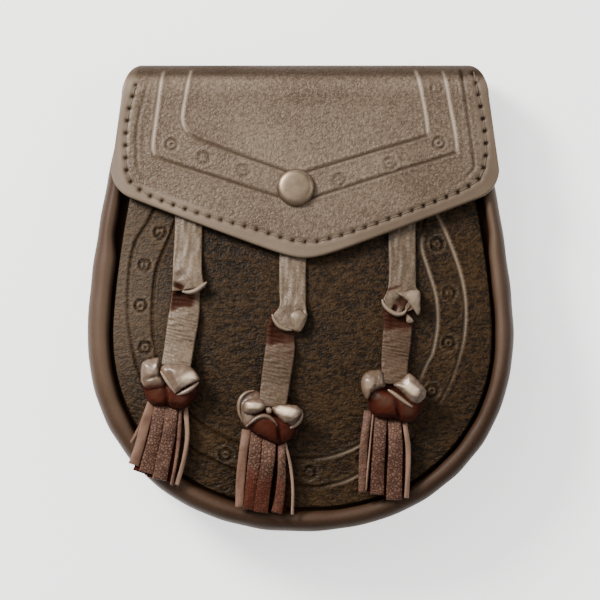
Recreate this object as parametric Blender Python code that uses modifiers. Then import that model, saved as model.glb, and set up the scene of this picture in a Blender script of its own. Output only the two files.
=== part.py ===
"""Leather sporran pouch with a press-stud flap and three hanging tassels, lying on its back.

The pouch's front faces +Z, the fold of the flap is at +Y, and the lowest points of the back are at Z = 0.
All lengths are in metres.
"""

import math
from collections import namedtuple

import bmesh
import bpy
from mathutils import Matrix, Vector

# Outline of the body, seen from the front
BODY_WIDTH = 0.1794
TOTAL_HEIGHT = 0.1966
LOWER_REACH = 0.0843
UPPER_REACH = 0.245
LOWER_POWER = 2.15
UPPER_POWER = 1.5
GUSSET_TOP_BELOW_FOLD = 0.0163

# Depth of the body, seen from the side
TOP_DEPTH = 0.0235
LOW_DEPTH = 0.0340
DEPTH_RAMP = 0.125

# Leather
GUSSET_WALL = 0.0018
PANEL_WALL = 0.0020
FLAP_WALL = 0.0022
STRAP_WALL = 0.0016
FRINGE_WALL = 0.0013
LOOP_WALL = 0.0020
GAP = 0.0003
BACK_SEAM_GAP = 0.0006

# Rolled rim of the gusset and the panel edges inside it
RIM_WIDTH = 0.0078
RIM_SHIFT = 0.0008
RIM_NECK_SHARE = 0.68
CREASE_SHARE = 1.22
FRONT_ROLL = 0.0110
BACK_ROLL = 0.0080
FLANGE_LAP = 0.0050
PANEL_INSET = 0.0102
PANEL_SHIFT = 0.0009
PANEL_DROP = 0.0020
PANEL_DOME = 0.0040
EDGE_TURN = 0.0005

# Hollow of the back, in which the belt loops lie
BACK_HOLLOW = 0.0078
HOLLOW_HALF_WIDTH = 0.0520
HOLLOW_FADE_WIDTH = 0.0240

# Flap
FLAP_SHIFT = 0.0020
FLAP_TOP_HALF = 0.0772
FLAP_LOW_HALF = 0.0815
FLAP_FOLD_PULL = 0.0067
FLAP_TIP_BELOW_FOLD = 0.0817
FLAP_TIP_ROUND = 0.0080
FLAP_EDGE_SLOPE = math.radians(21.0)
FLAP_CORNER_RADIUS = 0.0130
FLAP_LIFT = 0.0007
FLAP_CROWN = 0.0036
FLAP_BACK_LENGTH = 0.0250

# Press stud
STUD_X = -0.0019
STUD_BELOW_FOLD = 0.0523
CAP_RADIUS = 0.0079
CAP_HEIGHT = 0.0026
CAP_EDGE_SHARE = 0.2
SHANK_RADIUS = 0.0016
SOCKET_RADIUS = 0.0055
SOCKET_HEIGHT = 0.0011
POST_RADIUS = 0.0048
POST_HEIGHT = 0.0011

# Hangers, keepers and tassels
HANGER_WIDTH = 0.0123
KEEPER_LENGTH = 0.0090
KEEPER_WALL = 0.0014
KEEPER_SQUARENESS = 0.45
STRAP_TUCK = 0.0070
STRAP_TAIL = 0.0049
STRAP_WIDTH = 0.0126
STRAP_RISE_LENGTH = 0.0120
HEAD_WIDTH = 0.0272
HEAD_HEIGHT = 0.0228
HEAD_DEPTH = 0.0130
HEAD_BITE = 0.0055
STRAP_END_RISE = 0.0052
NECK_WIDTH = 0.0180
NECK_DEPTH = 0.0084
FRINGE_WIDTH = 0.0235
FRINGE_DEPTH = 0.0062
FRINGE_SLIT = 0.0007
FRINGE_SPREAD = 1.5

# Belt loops
LOOP_X = 0.0380
LOOP_WIDTH = 0.0240
LOOP_LENGTH = 0.0560
LOOP_SEAT = 0.0080
LOOP_RAMP = 0.0060
LOOP_CENTRE_BELOW_FOLD = 0.0883

# Fineness of the meshes
OUTLINE_SEGMENTS = 32
LOWER_SEGMENTS = 20
TOP_EDGE_SEGMENTS = 8
TURNED_STEPS = 16
DOME_STEPS = 5
BALL_SEGMENTS = 10
BALL_RINGS = 8
MERGE = 1e-6

TOP_Y = TOTAL_HEIGHT / 2
BOTTOM_Y = -TOTAL_HEIGHT / 2
WIDEST_Y = BOTTOM_Y + LOWER_REACH
GUSSET_TOP_Y = TOP_Y - GUSSET_TOP_BELOW_FOLD
BEND_RADIUS = (TOP_DEPTH + FLAP_LIFT + FLAP_WALL) / 2
BEND_Y = TOP_Y - BEND_RADIUS
FLAP_BACK_END_Y = BEND_Y - FLAP_BACK_LENGTH
FLAP_TIP_Y = TOP_Y - FLAP_TIP_BELOW_FOLD
LOOP_CENTRE_Y = TOP_Y - LOOP_CENTRE_BELOW_FOLD
LOOP_TOP_Y = LOOP_CENTRE_Y + LOOP_LENGTH / 2
LOOP_BOTTOM_Y = LOOP_CENTRE_Y - LOOP_LENGTH / 2

# The roll of the rim, from the crease over its crown to the straight side wall.
# inward is a share of the rim's width, down a share of the roll's depth.
RollRow = namedtuple("RollRow", "inward down")
ROLL = (
    RollRow(1.14, 0.34),
    RollRow(1.02, 0.10),
    RollRow(0.80, 0.00),
    RollRow(0.54, 0.00),
    RollRow(0.24, 0.16),
    RollRow(0.06, 0.48),
    RollRow(0.00, 1.00),
)

# Where each tassel hangs. x values are shares of the body's width, y values shares of the total height,
# both from the middle of the pouch. turn is the tilt of the head, in degrees.
Tassel = namedtuple("Tassel", "name top_x top_y keeper_x keeper_y head_x head_y turn tip_x tip_y")
TASSELS = (
    Tassel("left", -0.264, 0.240, -0.261, 0.022, -0.303, -0.183, -6.0, -0.345, -0.392),
    Tassel("middle", -0.014, 0.180, -0.024, -0.044, -0.071, -0.251, -10.0, -0.085, -0.459),
    Tassel("right", 0.236, 0.240, 0.233, -0.010, 0.216, -0.211, -4.0, 0.200, -0.427),
)

# The core and the lobes of a tassel head, as shares of its width, height and depth. turn is in degrees.
Lobe = namedtuple("Lobe", "across along out wide long thick turn")
HEAD_CORE = Lobe(0.0, 0.0, 0.0, 0.72, 0.80, 1.0, 0.0)
LOBES = (
    Lobe(-0.23, 0.16, 0.04, 0.54, 0.66, 0.88, 14.0),
    Lobe(0.22, 0.10, 0.05, 0.58, 0.58, 0.88, -18.0),
    Lobe(-0.14, -0.22, 0.00, 0.60, 0.56, 0.80, -24.0),
    Lobe(0.17, -0.24, 0.00, 0.52, 0.52, 0.78, 20.0),
)

# The strips of a skirt, round from its right edge over the front. long is a share of the skirt's length.
StripRow = namedtuple("StripRow", "wide long")
STRIPS = (
    StripRow(0.7, 0.97),
    StripRow(0.9, 1.00),
    StripRow(1.3, 0.96),
    StripRow(1.2, 0.99),
    StripRow(0.8, 0.97),
    StripRow(0.7, 0.94),
    StripRow(0.9, 0.96),
    StripRow(1.2, 0.93),
    StripRow(1.2, 0.95),
    StripRow(0.9, 0.92),
)

# The ramp of a belt loop, from its sewn end to its flat middle. out is a share of the ramp's length,
# rise a share of the height of the sewn end.
LoopRow = namedtuple("LoopRow", "out rise")
LOOP_RAMP_ROWS = (
    LoopRow(0.0, 1.00),
    LoopRow(0.4, 0.55),
    LoopRow(1.0, 0.00),
)


def clear_scene():
    for item in list(bpy.data.objects):
        bpy.data.objects.remove(item, do_unlink=True)


def new_collection(name):
    collection = bpy.data.collections.new(name)
    bpy.context.scene.collection.children.link(collection)
    return collection


def leather(name, colour, roughness):
    """A Principled BSDF leather of one colour."""
    material = bpy.data.materials.new(name)
    material.use_nodes = True
    shader = material.node_tree.nodes["Principled BSDF"]
    shader.inputs["Base Color"].default_value = (*colour, 1.0)
    shader.inputs["Roughness"].default_value = roughness
    return material


def metal(name, colour, roughness):
    material = leather(name, colour, roughness)
    material.node_tree.nodes["Principled BSDF"].inputs["Metallic"].default_value = 1.0
    return material


def ease(share):
    """0 below 0, 1 above 1, with a smooth S between them."""
    share = min(max(share, 0.0), 1.0)
    return share * share * (3 - 2 * share)


def soft_max(a, b, softness=0.0006):
    return (a + b + math.sqrt((a - b) ** 2 + softness**2)) / 2


def half_width(y):
    """Half the body's width at a height y."""
    if y >= WIDEST_Y:
        reach, power = UPPER_REACH, UPPER_POWER
    else:
        reach, power = LOWER_REACH, LOWER_POWER
    share = min(abs(y - WIDEST_Y) / reach, 1.0)
    return BODY_WIDTH / 2 * (1 - share**power) ** (1 / power)


def outline(t):
    """The body's outline: t runs from -1 at the left top over 0 at the bottom to 1 at the right top."""
    lower_share = LOWER_SEGMENTS / OUTLINE_SEGMENTS
    side = -1.0 if t < 0 else 1.0
    if abs(t) <= lower_share:
        turn = math.pi / 2 * abs(t) / lower_share
        x = BODY_WIDTH / 2 * math.sin(turn) ** (2 / LOWER_POWER)
        y = WIDEST_Y - LOWER_REACH * math.cos(turn) ** (2 / LOWER_POWER)
    else:
        y = WIDEST_Y + (GUSSET_TOP_Y - WIDEST_Y) * (abs(t) - lower_share) / (1 - lower_share)
        x = half_width(y)
    return Vector((side * x, y, 0.0))


def inset(t, distance):
    """The point a distance inside the outline at t."""
    step = 1e-3
    along = (outline(t + step) - outline(t - step)).normalized()
    return outline(t) + distance * Vector((-along.y, along.x, 0.0))


def panel_inset(point):
    """How far inside the outline the panels' edges lie, a little more on the left than on the right."""
    return PANEL_INSET - PANEL_SHIFT * point.x / (BODY_WIDTH / 2)


def crown_z(y):
    """Height of the rim's crown."""
    return TOP_DEPTH + (LOW_DEPTH - TOP_DEPTH) * ease((GUSSET_TOP_Y - y) / DEPTH_RAMP)


def back_z(y):
    """Height of the back's edge: 0, and above the flap's sewn end just clear of it."""
    return (FLAP_WALL + BACK_SEAM_GAP) * ease((y - LOOP_TOP_Y) / (FLAP_BACK_END_Y - LOOP_TOP_Y))


def hollow(x, y):
    """How far the back is bowed in."""
    across = 1 - ease((abs(x) - HOLLOW_HALF_WIDTH) / HOLLOW_FADE_WIDTH)
    fade_up = 1 - ease((y - LOOP_TOP_Y) / (GUSSET_TOP_Y - LOOP_TOP_Y))
    fade_down = 1 - ease((LOOP_BOTTOM_Y - y) / LOOP_LENGTH)
    return BACK_HOLLOW * across * fade_up * fade_down


def panel_z(x, y):
    """Height of the front panel's outer face."""
    inner_half = max(half_width(y) - PANEL_INSET, MERGE)
    middle_y = (GUSSET_TOP_Y + BOTTOM_Y) / 2
    half_height = middle_y - BOTTOM_Y - PANEL_INSET
    across = max(1 - (x / inner_half) ** 2, 0.0)
    along = max(1 - ((y - middle_y) / half_height) ** 2, 0.0)
    return crown_z(y) - PANEL_DROP + PANEL_DOME * across * along


def ride_z(x, y):
    """Height of what a tassel lies on: the front panel or, near the edge, the rim."""
    return soft_max(panel_z(x, y), crown_z(y))


def new_object(name, collection, mesh, material, smooth_angle=40.0):
    mesh.shade_smooth()
    mesh.set_sharp_from_angle(angle=math.radians(smooth_angle))
    mesh.materials.append(material)
    item = bpy.data.objects.new(name, mesh)
    collection.objects.link(item)
    return item


def hide_cutter(item):
    item.hide_render = True
    item.display_type = "WIRE"


def sheet(name, collection, across, along, place, wall, material, keep=None, flip=False):
    """Leather of an even wall: a grid whose outer face place(u, v) bends, with Solidify inwards.

    u and v run from 0 to 1, and keep(u, v), read at a face's middle, says which faces stay.
    """
    grid = bmesh.new()
    bmesh.ops.create_grid(grid, x_segments=across, y_segments=along, size=0.5)
    if keep:
        gone = [
            face
            for face in grid.faces
            if not keep(face.calc_center_median().x + 0.5, face.calc_center_median().y + 0.5)
        ]
        bmesh.ops.delete(grid, geom=gone, context="FACES")
    for vertex in grid.verts:
        vertex.co = place(vertex.co.x + 0.5, vertex.co.y + 0.5)
    bmesh.ops.remove_doubles(grid, verts=grid.verts, dist=MERGE)
    if flip:
        bmesh.ops.reverse_faces(grid, faces=grid.faces)
    mesh = bpy.data.meshes.new(name)
    grid.to_mesh(mesh)
    grid.free()
    item = new_object(name, collection, mesh, material)
    thickness = item.modifiers.new("Wall", "SOLIDIFY")
    thickness.thickness = wall
    thickness.offset = -1.0
    return item


def boolean(item, other, operation):
    step = item.modifiers.new(operation.title(), "BOOLEAN")
    step.operation = operation
    step.object = other
    step.solver = "EXACT"
    hide_cutter(other)


def gusset_points(t):
    """The gusset's section at t, from its back flange round the side to its front flange."""
    point = outline(t)
    crown = crown_z(point.y)
    back = back_z(point.y)
    narrow = 1 - (1 - RIM_NECK_SHARE) * ease((point.y - FLAP_TIP_Y) / FLAP_CORNER_RADIUS)
    width = (RIM_WIDTH - RIM_SHIFT * point.x / (BODY_WIDTH / 2)) * narrow
    flange_end = panel_inset(point) + FLANGE_LAP

    def at(inwards, height):
        place = inset(t, inwards)
        return Vector((place.x, place.y, height))

    def over_back_panel(inwards):
        place = inset(t, inwards)
        face = back_z(place.y) + hollow(place.x, place.y)
        return Vector((place.x, place.y, face + EDGE_TURN + PANEL_WALL + GAP))

    def under_front_panel(inwards):
        place = inset(t, inwards)
        return Vector((place.x, place.y, panel_z(place.x, place.y) - EDGE_TURN - PANEL_WALL - GAP))

    back_roll = [at(row.inward * RIM_WIDTH, back + row.down * BACK_ROLL) for row in ROLL]
    front_roll = [at(row.inward * width, crown - row.down * FRONT_ROLL) for row in reversed(ROLL)]
    back_flange = [over_back_panel(flange_end), over_back_panel(CREASE_SHARE * RIM_WIDTH)]
    front_flange = [under_front_panel(CREASE_SHARE * width), under_front_panel(flange_end)]
    return back_flange + back_roll + front_roll + front_flange


def make_gusset(collection, material):
    points = 2 * len(ROLL) + 4

    def place(u, v):
        return gusset_points(2 * u - 1)[round(v * (points - 1))]

    return sheet("gusset", collection, OUTLINE_SEGMENTS, points - 1, place, GUSSET_WALL, material)


def panel_edge(share):
    """The panels' outline from the left top, down and round the body, then back along the mouth."""
    around = OUTLINE_SEGMENTS / (OUTLINE_SEGMENTS + TOP_EDGE_SEGMENTS)
    if share <= around:
        t = 2 * share / around - 1
        return inset(t, panel_inset(outline(t)))
    right = inset(1.0, panel_inset(outline(1.0)))
    left = inset(-1.0, panel_inset(outline(-1.0)))
    return right.lerp(left, (share - around) / (1 - around))


def panel_point(u, v, rings):
    """A point of a panel: u goes round it, and v from its edge to its middle through the rings."""
    middle = Vector((0.0, WIDEST_Y + LOOP_SEAT, 0.0))
    return middle.lerp(panel_edge(u), rings[round(v * (len(rings) - 1))])


def make_front_panel(collection, material):
    rings = (1.0, 0.985, 0.86, 0.62, 0.32, 0.0)

    def place(u, v):
        point = panel_point(u, v, rings)
        turn = EDGE_TURN if round(v * (len(rings) - 1)) == 0 else 0.0
        return Vector((point.x, point.y, panel_z(point.x, point.y) - turn))

    columns = OUTLINE_SEGMENTS + TOP_EDGE_SEGMENTS
    return sheet("front_panel", collection, columns, len(rings) - 1, place, PANEL_WALL, material)


def make_back_panel(collection, material):
    rings = (1.0, 0.97, 0.88, 0.78, 0.66, 0.5, 0.26, 0.0)

    def place(u, v):
        point = panel_point(u, v, rings)
        turn = EDGE_TURN if round(v * (len(rings) - 1)) == 0 else 0.0
        return Vector((point.x, point.y, back_z(point.y) + hollow(point.x, point.y) + turn))

    columns = OUTLINE_SEGMENTS + TOP_EDGE_SEGMENTS
    return sheet(
        "back_panel", collection, columns, len(rings) - 1, place, PANEL_WALL, material, flip=True
    )


def flap_half(y):
    """Half the flap's width on the front at a height y."""
    corner_y = flap_corner().y
    share = min(max((BEND_Y - y) / (BEND_Y - corner_y), 0.0), 1.0)
    return FLAP_TOP_HALF + (FLAP_LOW_HALF - FLAP_TOP_HALF) * share


def flap_line(across):
    """Height of the V of the lower edge, its tip rounded."""
    rounded = math.hypot(across, FLAP_TIP_ROUND) - FLAP_TIP_ROUND
    return FLAP_TIP_Y + math.tan(FLAP_EDGE_SLOPE) * rounded


def flap_corner():
    """Centre of the arc that rounds a lower corner of the flap."""
    x = FLAP_LOW_HALF - FLAP_CORNER_RADIUS
    return Vector((x, flap_line(x) + FLAP_CORNER_RADIUS / math.cos(FLAP_EDGE_SLOPE), 0.0))


def flap_lower_edge(across):
    centre = flap_corner()
    past = abs(across) - centre.x
    if past <= FLAP_CORNER_RADIUS * math.sin(FLAP_EDGE_SLOPE):
        return flap_line(across)
    return centre.y - math.sqrt(max(FLAP_CORNER_RADIUS**2 - past**2, 0.0))


def flap_front_z(x, y):
    """Height of the flap's inner face on the front of the pouch."""
    across = (x - FLAP_SHIFT) / FLAP_LOW_HALF
    crown = FLAP_CROWN * max(1 - across**2, 0.0) * ease((BEND_Y - y) / (BEND_Y - FLAP_TIP_Y) * 2)
    return crown_z(y) + FLAP_LIFT + crown


def make_flap(collection, material):
    front_rows, bend_rows, back_rows = 9, 8, 3
    rows = front_rows + bend_rows + back_rows
    columns = 26

    def place(u, v):
        across = math.sin(math.pi / 2 * (2 * u - 1))
        row = round(v * rows)
        if row <= front_rows:
            low = flap_lower_edge(across * FLAP_LOW_HALF)
            y = low + (BEND_Y - low) * row / front_rows
            x = FLAP_SHIFT + across * flap_half(y)
            return Vector((x, y, flap_front_z(x, y) + FLAP_WALL))
        if row <= front_rows + bend_rows:
            turn = math.pi * (row - front_rows) / bend_rows
            pull = FLAP_FOLD_PULL * (math.sin(turn) ** 3 if turn < math.pi / 2 else 1.0)
            x = FLAP_SHIFT + across * (FLAP_TOP_HALF - pull)
            return Vector((x, BEND_Y + BEND_RADIUS * math.sin(turn), BEND_RADIUS * (1 + math.cos(turn))))
        y = BEND_Y - FLAP_BACK_LENGTH * (row - front_rows - bend_rows) / back_rows
        x = FLAP_SHIFT + across * (FLAP_TOP_HALF - FLAP_FOLD_PULL)
        return Vector((x, y, hollow(x, y)))

    return sheet("flap", collection, columns, rows, place, FLAP_WALL, material)


def surface_tilt(height, x, y):
    """Rotation that turns +Z to the normal of the surface z = height(x, y)."""
    step = 1e-3
    slope_x = (height(x + step, y) - height(x - step, y)) / (2 * step)
    slope_y = (height(x, y + step) - height(x, y - step)) / (2 * step)
    normal = Vector((-slope_x, -slope_y, 1))
    return Vector((0, 0, 1)).rotation_difference(normal).to_matrix().to_4x4()


def turned(name, collection, profile, place, material):
    """A turned piece: its profile runs down from the top, and a Screw turns it round its own Z."""
    mesh = bpy.data.meshes.new(name)
    points = [(radius, 0.0, z) for radius, z in profile]
    mesh.from_pydata(points, [(i, i + 1) for i in range(len(points) - 1)], [])
    item = new_object(name, collection, mesh, material)
    item.matrix_world = place
    screw = item.modifiers.new("Turn", "SCREW")
    screw.steps = TURNED_STEPS
    screw.render_steps = TURNED_STEPS
    screw.use_merge_vertices = True
    screw.merge_threshold = 1e-5


def make_press_stud(collection, cutters, flap, material):
    """The cap, whose shank goes through the flap, and the hidden post on the front panel below it."""
    y = TOP_Y - STUD_BELOW_FOLD
    outer = flap_front_z(STUD_X, y) + FLAP_WALL
    place = Matrix.Translation((STUD_X, y, outer)) @ surface_tilt(flap_front_z, STUD_X, y)
    under = -FLAP_WALL - GAP
    profile = []
    for step in range(DOME_STEPS + 1):
        turn = math.pi / 2 * step / DOME_STEPS
        height = CAP_HEIGHT * (CAP_EDGE_SHARE + (1 - CAP_EDGE_SHARE) * math.cos(turn))
        profile.append((CAP_RADIUS * math.sin(turn), GAP + height))
    profile += [
        (CAP_RADIUS, GAP),
        (SHANK_RADIUS, GAP),
        (SHANK_RADIUS, under),
        (SOCKET_RADIUS, under),
        (SOCKET_RADIUS, under - SOCKET_HEIGHT),
        (0.0, under - SOCKET_HEIGHT),
    ]
    turned("snap_cap", collection, profile, place, material)
    drill = bpy.data.meshes.new("stud_hole")
    hole = bmesh.new()
    bmesh.ops.create_cone(
        hole,
        cap_ends=True,
        segments=TURNED_STEPS,
        radius1=SHANK_RADIUS + GAP,
        radius2=SHANK_RADIUS + GAP,
        depth=4 * FLAP_WALL,
        matrix=place,
    )
    hole.to_mesh(drill)
    hole.free()
    boolean(flap, new_object("stud_hole", cutters, drill, material), "DIFFERENCE")
    base = panel_z(STUD_X, y)
    seat = Matrix.Translation((STUD_X, y, base)) @ surface_tilt(panel_z, STUD_X, y)
    top = GAP + POST_HEIGHT
    profile = [(0.0, top), (POST_RADIUS, top), (POST_RADIUS, GAP), (0.0, GAP)]
    turned("snap_post", collection, profile, seat, material)


def band(name, collection, path, width, wall, along, material, across=4):
    """A flat strap: path(v) gives the middle of its lower face, v = 0 at its lower end."""

    def place(u, v):
        step = 1e-3
        centre = path(v)
        run = (path(v + step) - path(v - step)).normalized()
        side = Vector((run.y, -run.x, 0.0)).normalized()
        point = centre + side * width * (u - 0.5)
        lift = ride_z(point.x, point.y) - ride_z(centre.x, centre.y)
        return Vector((point.x, point.y, centre.z + lift + wall))

    return sheet(name, collection, across, along, place, wall, material)


def tassel_places(tassel):
    top = Vector((tassel.top_x * BODY_WIDTH, tassel.top_y * TOTAL_HEIGHT, 0.0))
    keeper = Vector((tassel.keeper_x * BODY_WIDTH, tassel.keeper_y * TOTAL_HEIGHT, 0.0))
    head = Vector((tassel.head_x * BODY_WIDTH, tassel.head_y * TOTAL_HEIGHT, 0.0))
    tip = Vector((tassel.tip_x * BODY_WIDTH, tassel.tip_y * TOTAL_HEIGHT, 0.0))
    return top, keeper, head, tip


# Heights above what the tassel lies on, in the keeper: its back wall, the strap and the hanger over it
KEEPER_STRAP_Z = GAP + KEEPER_WALL + GAP
KEEPER_HANGER_Z = KEEPER_STRAP_Z + STRAP_WALL + GAP


def hanger_path(tassel):
    """The hanger runs down from under the flap and climbs over the strap in the keeper."""
    top, keeper, _, _ = tassel_places(tassel)
    end = keeper.lerp(top, KEEPER_LENGTH / 4 / (top - keeper).length)

    def path(v):
        point = end.lerp(top, v)
        climb = 1 - ease(((point - keeper).length - STRAP_TUCK) / KEEPER_LENGTH)
        point.z = ride_z(point.x, point.y) + GAP + (KEEPER_HANGER_Z - GAP) * climb
        return point

    return path


def strap_path(tassel):
    """The tassel's strap runs from just above the keeper, through it, into the head."""
    _, keeper, head, _ = tassel_places(tassel)
    start = keeper + (keeper - head).normalized() * STRAP_TAIL
    end = head + (keeper - head).normalized() * (HEAD_HEIGHT / 2 - HEAD_BITE)

    def path(v):
        point = end.lerp(start, v)
        drop = 1 - ease(((point - start).length - STRAP_TUCK - KEEPER_LENGTH / 2) / KEEPER_LENGTH)
        rise = 1 - ease(((point - end).length - HEAD_BITE - GAP) / STRAP_RISE_LENGTH)
        offset = GAP + (KEEPER_STRAP_Z - GAP) * drop + (STRAP_END_RISE - GAP) * rise
        point.z = ride_z(point.x, point.y) + offset
        return point

    return path


def make_hanger(tassel, collection, cutters, material):
    """The strap from under the flap, with the keeper that goes round the tassel's strap."""
    name = "hanger_" + tassel.name
    hanger = band(name, collection, hanger_path(tassel), HANGER_WIDTH, STRAP_WALL, 9, material)
    _, keeper, head, _ = tassel_places(tassel)
    along = (keeper - head).normalized()
    side = Vector((along.y, -along.x, 0.0))
    inner_half = STRAP_WIDTH / 2 + 2 * GAP
    half = Vector((inner_half + KEEPER_WALL, (KEEPER_HANGER_Z + STRAP_WALL - GAP) / 2))

    def place(u, v):
        turn = 2 * math.pi * u
        across = half.x * math.copysign(abs(math.cos(turn)) ** KEEPER_SQUARENESS, math.cos(turn))
        height = half.y * math.copysign(abs(math.sin(turn)) ** KEEPER_SQUARENESS, math.sin(turn))
        point = keeper + side * across + along * KEEPER_LENGTH * (0.5 - v)
        point.z = ride_z(point.x, point.y) + GAP + half.y + height
        return point

    loop = sheet("keeper_" + tassel.name, cutters, 16, 2, place, KEEPER_WALL, material)
    boolean(hanger, loop, "UNION")


def make_strap(tassel, collection, material):
    name = "tassel_strap_" + tassel.name
    band(name, collection, strap_path(tassel), STRAP_WIDTH, STRAP_WALL, 10, material)


def make_head(tassel, collection, cutters, material):
    """The knotted head: a core and its lobes made one, with a slot for the strap."""
    _, keeper, head, _ = tassel_places(tassel)
    along = (keeper - head).normalized()
    lean = math.atan2(-along.x, along.y) + math.radians(tassel.turn)
    base = ride_z(head.x, head.y) + GAP + HEAD_DEPTH / 2
    frame = Matrix.Translation((head.x, head.y, base)) @ Matrix.Rotation(lean, 4, "Z")
    size = Vector((HEAD_WIDTH, HEAD_HEIGHT, HEAD_DEPTH))

    def ball(name, where, row):
        centre = Matrix.Translation((row.across * size.x, row.along * size.y, row.out * size.z))
        turn = Matrix.Rotation(math.radians(row.turn), 4, "Z")
        shape = Matrix.Diagonal((row.wide * size.x, row.long * size.y, row.thick * size.z, 1.0))
        ball_mesh = bmesh.new()
        bmesh.ops.create_uvsphere(
            ball_mesh,
            u_segments=BALL_SEGMENTS,
            v_segments=BALL_RINGS,
            radius=0.5,
            matrix=frame @ centre @ turn @ shape,
        )
        mesh = bpy.data.meshes.new(name)
        ball_mesh.to_mesh(mesh)
        ball_mesh.free()
        return new_object(name, where, mesh, material)

    core = ball("tassel_head_" + tassel.name, collection, HEAD_CORE)
    for number, row in enumerate(LOBES):
        boolean(core, ball(f"lobe_{tassel.name}_{number}", cutters, row), "UNION")

    path = strap_path(tassel)
    overrun = 0.03

    def slot_path(v):
        """The strap's path, GAP lower and a little longer at both ends."""
        point = path(v * (1 + 2 * overrun) - overrun)
        point.z -= GAP
        return point

    width = STRAP_WIDTH + 2 * GAP
    height = STRAP_WALL + 2 * GAP
    slot = band("slot_" + tassel.name, cutters, slot_path, width, height, 10, material)
    boolean(core, slot, "DIFFERENCE")


def make_skirt(tassel, collection, material):
    """The skirt: a flattened tube of leather, slit into strips below its band and closed at its top."""
    _, keeper, head, tip = tassel_places(tassel)
    down = (tip - head).normalized()
    start = head + down * (HEAD_HEIGHT / 2 + 4 * GAP)
    side = Vector((-down.y, down.x, 0.0))
    length = (tip - start).length
    rows = 5
    band_rows = 1
    columns = 2 * len(STRIPS)
    total = sum(strip.wide for strip in STRIPS)

    def angle_of(column):
        """Strips and slits alternate round the tube; column counts the edges between them."""
        before = sum(strip.wide for strip in STRIPS[: column // 2])
        if column % 2:
            before += STRIPS[column // 2].wide - FRINGE_SLIT / FRINGE_WIDTH * total / math.pi
        return 2 * math.pi * before / total

    def place(u, v):
        column = round(u * columns)
        turn = angle_of(column)
        strip = STRIPS[min(column // 2, len(STRIPS) - 1)]
        share = v * (strip.long if round(v * rows) > band_rows else 1.0)
        spread = ease(share * FRINGE_SPREAD)
        width = NECK_WIDTH + (FRINGE_WIDTH - NECK_WIDTH) * spread
        depth = NECK_DEPTH + (FRINGE_DEPTH - NECK_DEPTH) * spread
        point = start + down * length * share + side * math.cos(turn) * width / 2
        point.z = ride_z(point.x, point.y) + GAP + depth / 2 * (1 + math.sin(turn))
        return point

    def keep(u, v):
        return int(u * columns) % 2 == 0 or v * rows < band_rows

    name = "tassel_skirt_" + tassel.name
    sheet(name, collection, columns, rows, place, FRINGE_WALL, material, keep=keep)


def make_belt_loop(name, x, collection, material):
    """A strip sewn down at both ends, standing off the hollow of the back between them."""
    seat_z = BACK_HOLLOW - GAP - LOOP_WALL
    half = LOOP_LENGTH / 2
    upper = [(half, seat_z)]
    upper += [(half - LOOP_SEAT - LOOP_RAMP * row.out, seat_z * row.rise) for row in LOOP_RAMP_ROWS]
    rows = [(-y, z) for y, z in upper] + upper[::-1]

    def place(u, v):
        y, z = rows[round(v * (len(rows) - 1))]
        return Vector((x + LOOP_WIDTH * (0.5 - u), LOOP_CENTRE_Y + y, z))

    return sheet(name, collection, 1, len(rows) - 1, place, LOOP_WALL, material)


def main():
    clear_scene()
    pouch = new_collection("sporran_pouch")
    cutters = new_collection("cutters")
    flap_leather = leather("flap_leather", (0.26, 0.20, 0.155), 0.5)
    panel_leather = leather("panel_leather", (0.045, 0.030, 0.018), 0.6)
    gusset_leather = leather("gusset_leather", (0.19, 0.145, 0.11), 0.45)
    back_leather = leather("back_leather", (0.12, 0.085, 0.06), 0.55)
    strap_leather = leather("strap_leather", (0.30, 0.24, 0.18), 0.45)
    head_leather = leather("head_leather", (0.20, 0.10, 0.07), 0.25)
    fringe_leather = leather("fringe_leather", (0.13, 0.085, 0.06), 0.6)
    stud_metal = metal("stud_metal", (0.55, 0.47, 0.40), 0.35)

    make_gusset(pouch, gusset_leather)
    make_front_panel(pouch, panel_leather)
    make_back_panel(pouch, back_leather)
    flap = make_flap(pouch, flap_leather)
    make_press_stud(pouch, cutters, flap, stud_metal)
    for tassel in TASSELS:
        make_hanger(tassel, pouch, cutters, strap_leather)
        make_strap(tassel, pouch, strap_leather)
        make_head(tassel, pouch, cutters, head_leather)
        make_skirt(tassel, pouch, fringe_leather)
    for name, x in (("belt_loop_left", -LOOP_X), ("belt_loop_right", LOOP_X)):
        make_belt_loop(name, x, pouch, back_leather)


main()
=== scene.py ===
"""Leather sporran pouch with a tooled press-stud flap and three knotted tassels, lying on its back."""

import math
from functools import partial

import bpy
import numpy as np
from mathutils import Matrix, Vector


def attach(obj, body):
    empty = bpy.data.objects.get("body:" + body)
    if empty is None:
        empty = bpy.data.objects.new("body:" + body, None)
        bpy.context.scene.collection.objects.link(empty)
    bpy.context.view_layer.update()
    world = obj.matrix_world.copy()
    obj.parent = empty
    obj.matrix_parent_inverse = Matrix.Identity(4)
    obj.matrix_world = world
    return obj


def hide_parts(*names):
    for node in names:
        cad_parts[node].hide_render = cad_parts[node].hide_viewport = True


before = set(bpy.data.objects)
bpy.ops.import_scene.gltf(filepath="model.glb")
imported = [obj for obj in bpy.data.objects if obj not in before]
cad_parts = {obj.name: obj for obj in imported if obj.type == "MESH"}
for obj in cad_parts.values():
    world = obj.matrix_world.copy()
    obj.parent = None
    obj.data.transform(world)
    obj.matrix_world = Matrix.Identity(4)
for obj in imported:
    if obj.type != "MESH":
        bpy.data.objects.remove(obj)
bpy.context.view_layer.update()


# Camera, floor and light. The camera looks straight down on the pouch, far enough away that the
# outline and the flap keep the same scale. A large soft light stands at the upper left, a weaker
# one at the right, and a broad overhead one gives the leather its sheen.
VIEW_WIDTH = 0.252
VIEW_DISTANCE = 1.6
VIEW_LEVEL = 0.026
VIEW_MIDDLE = (-0.0002, -0.0010)
FLOOR_Z = -0.0002

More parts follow.
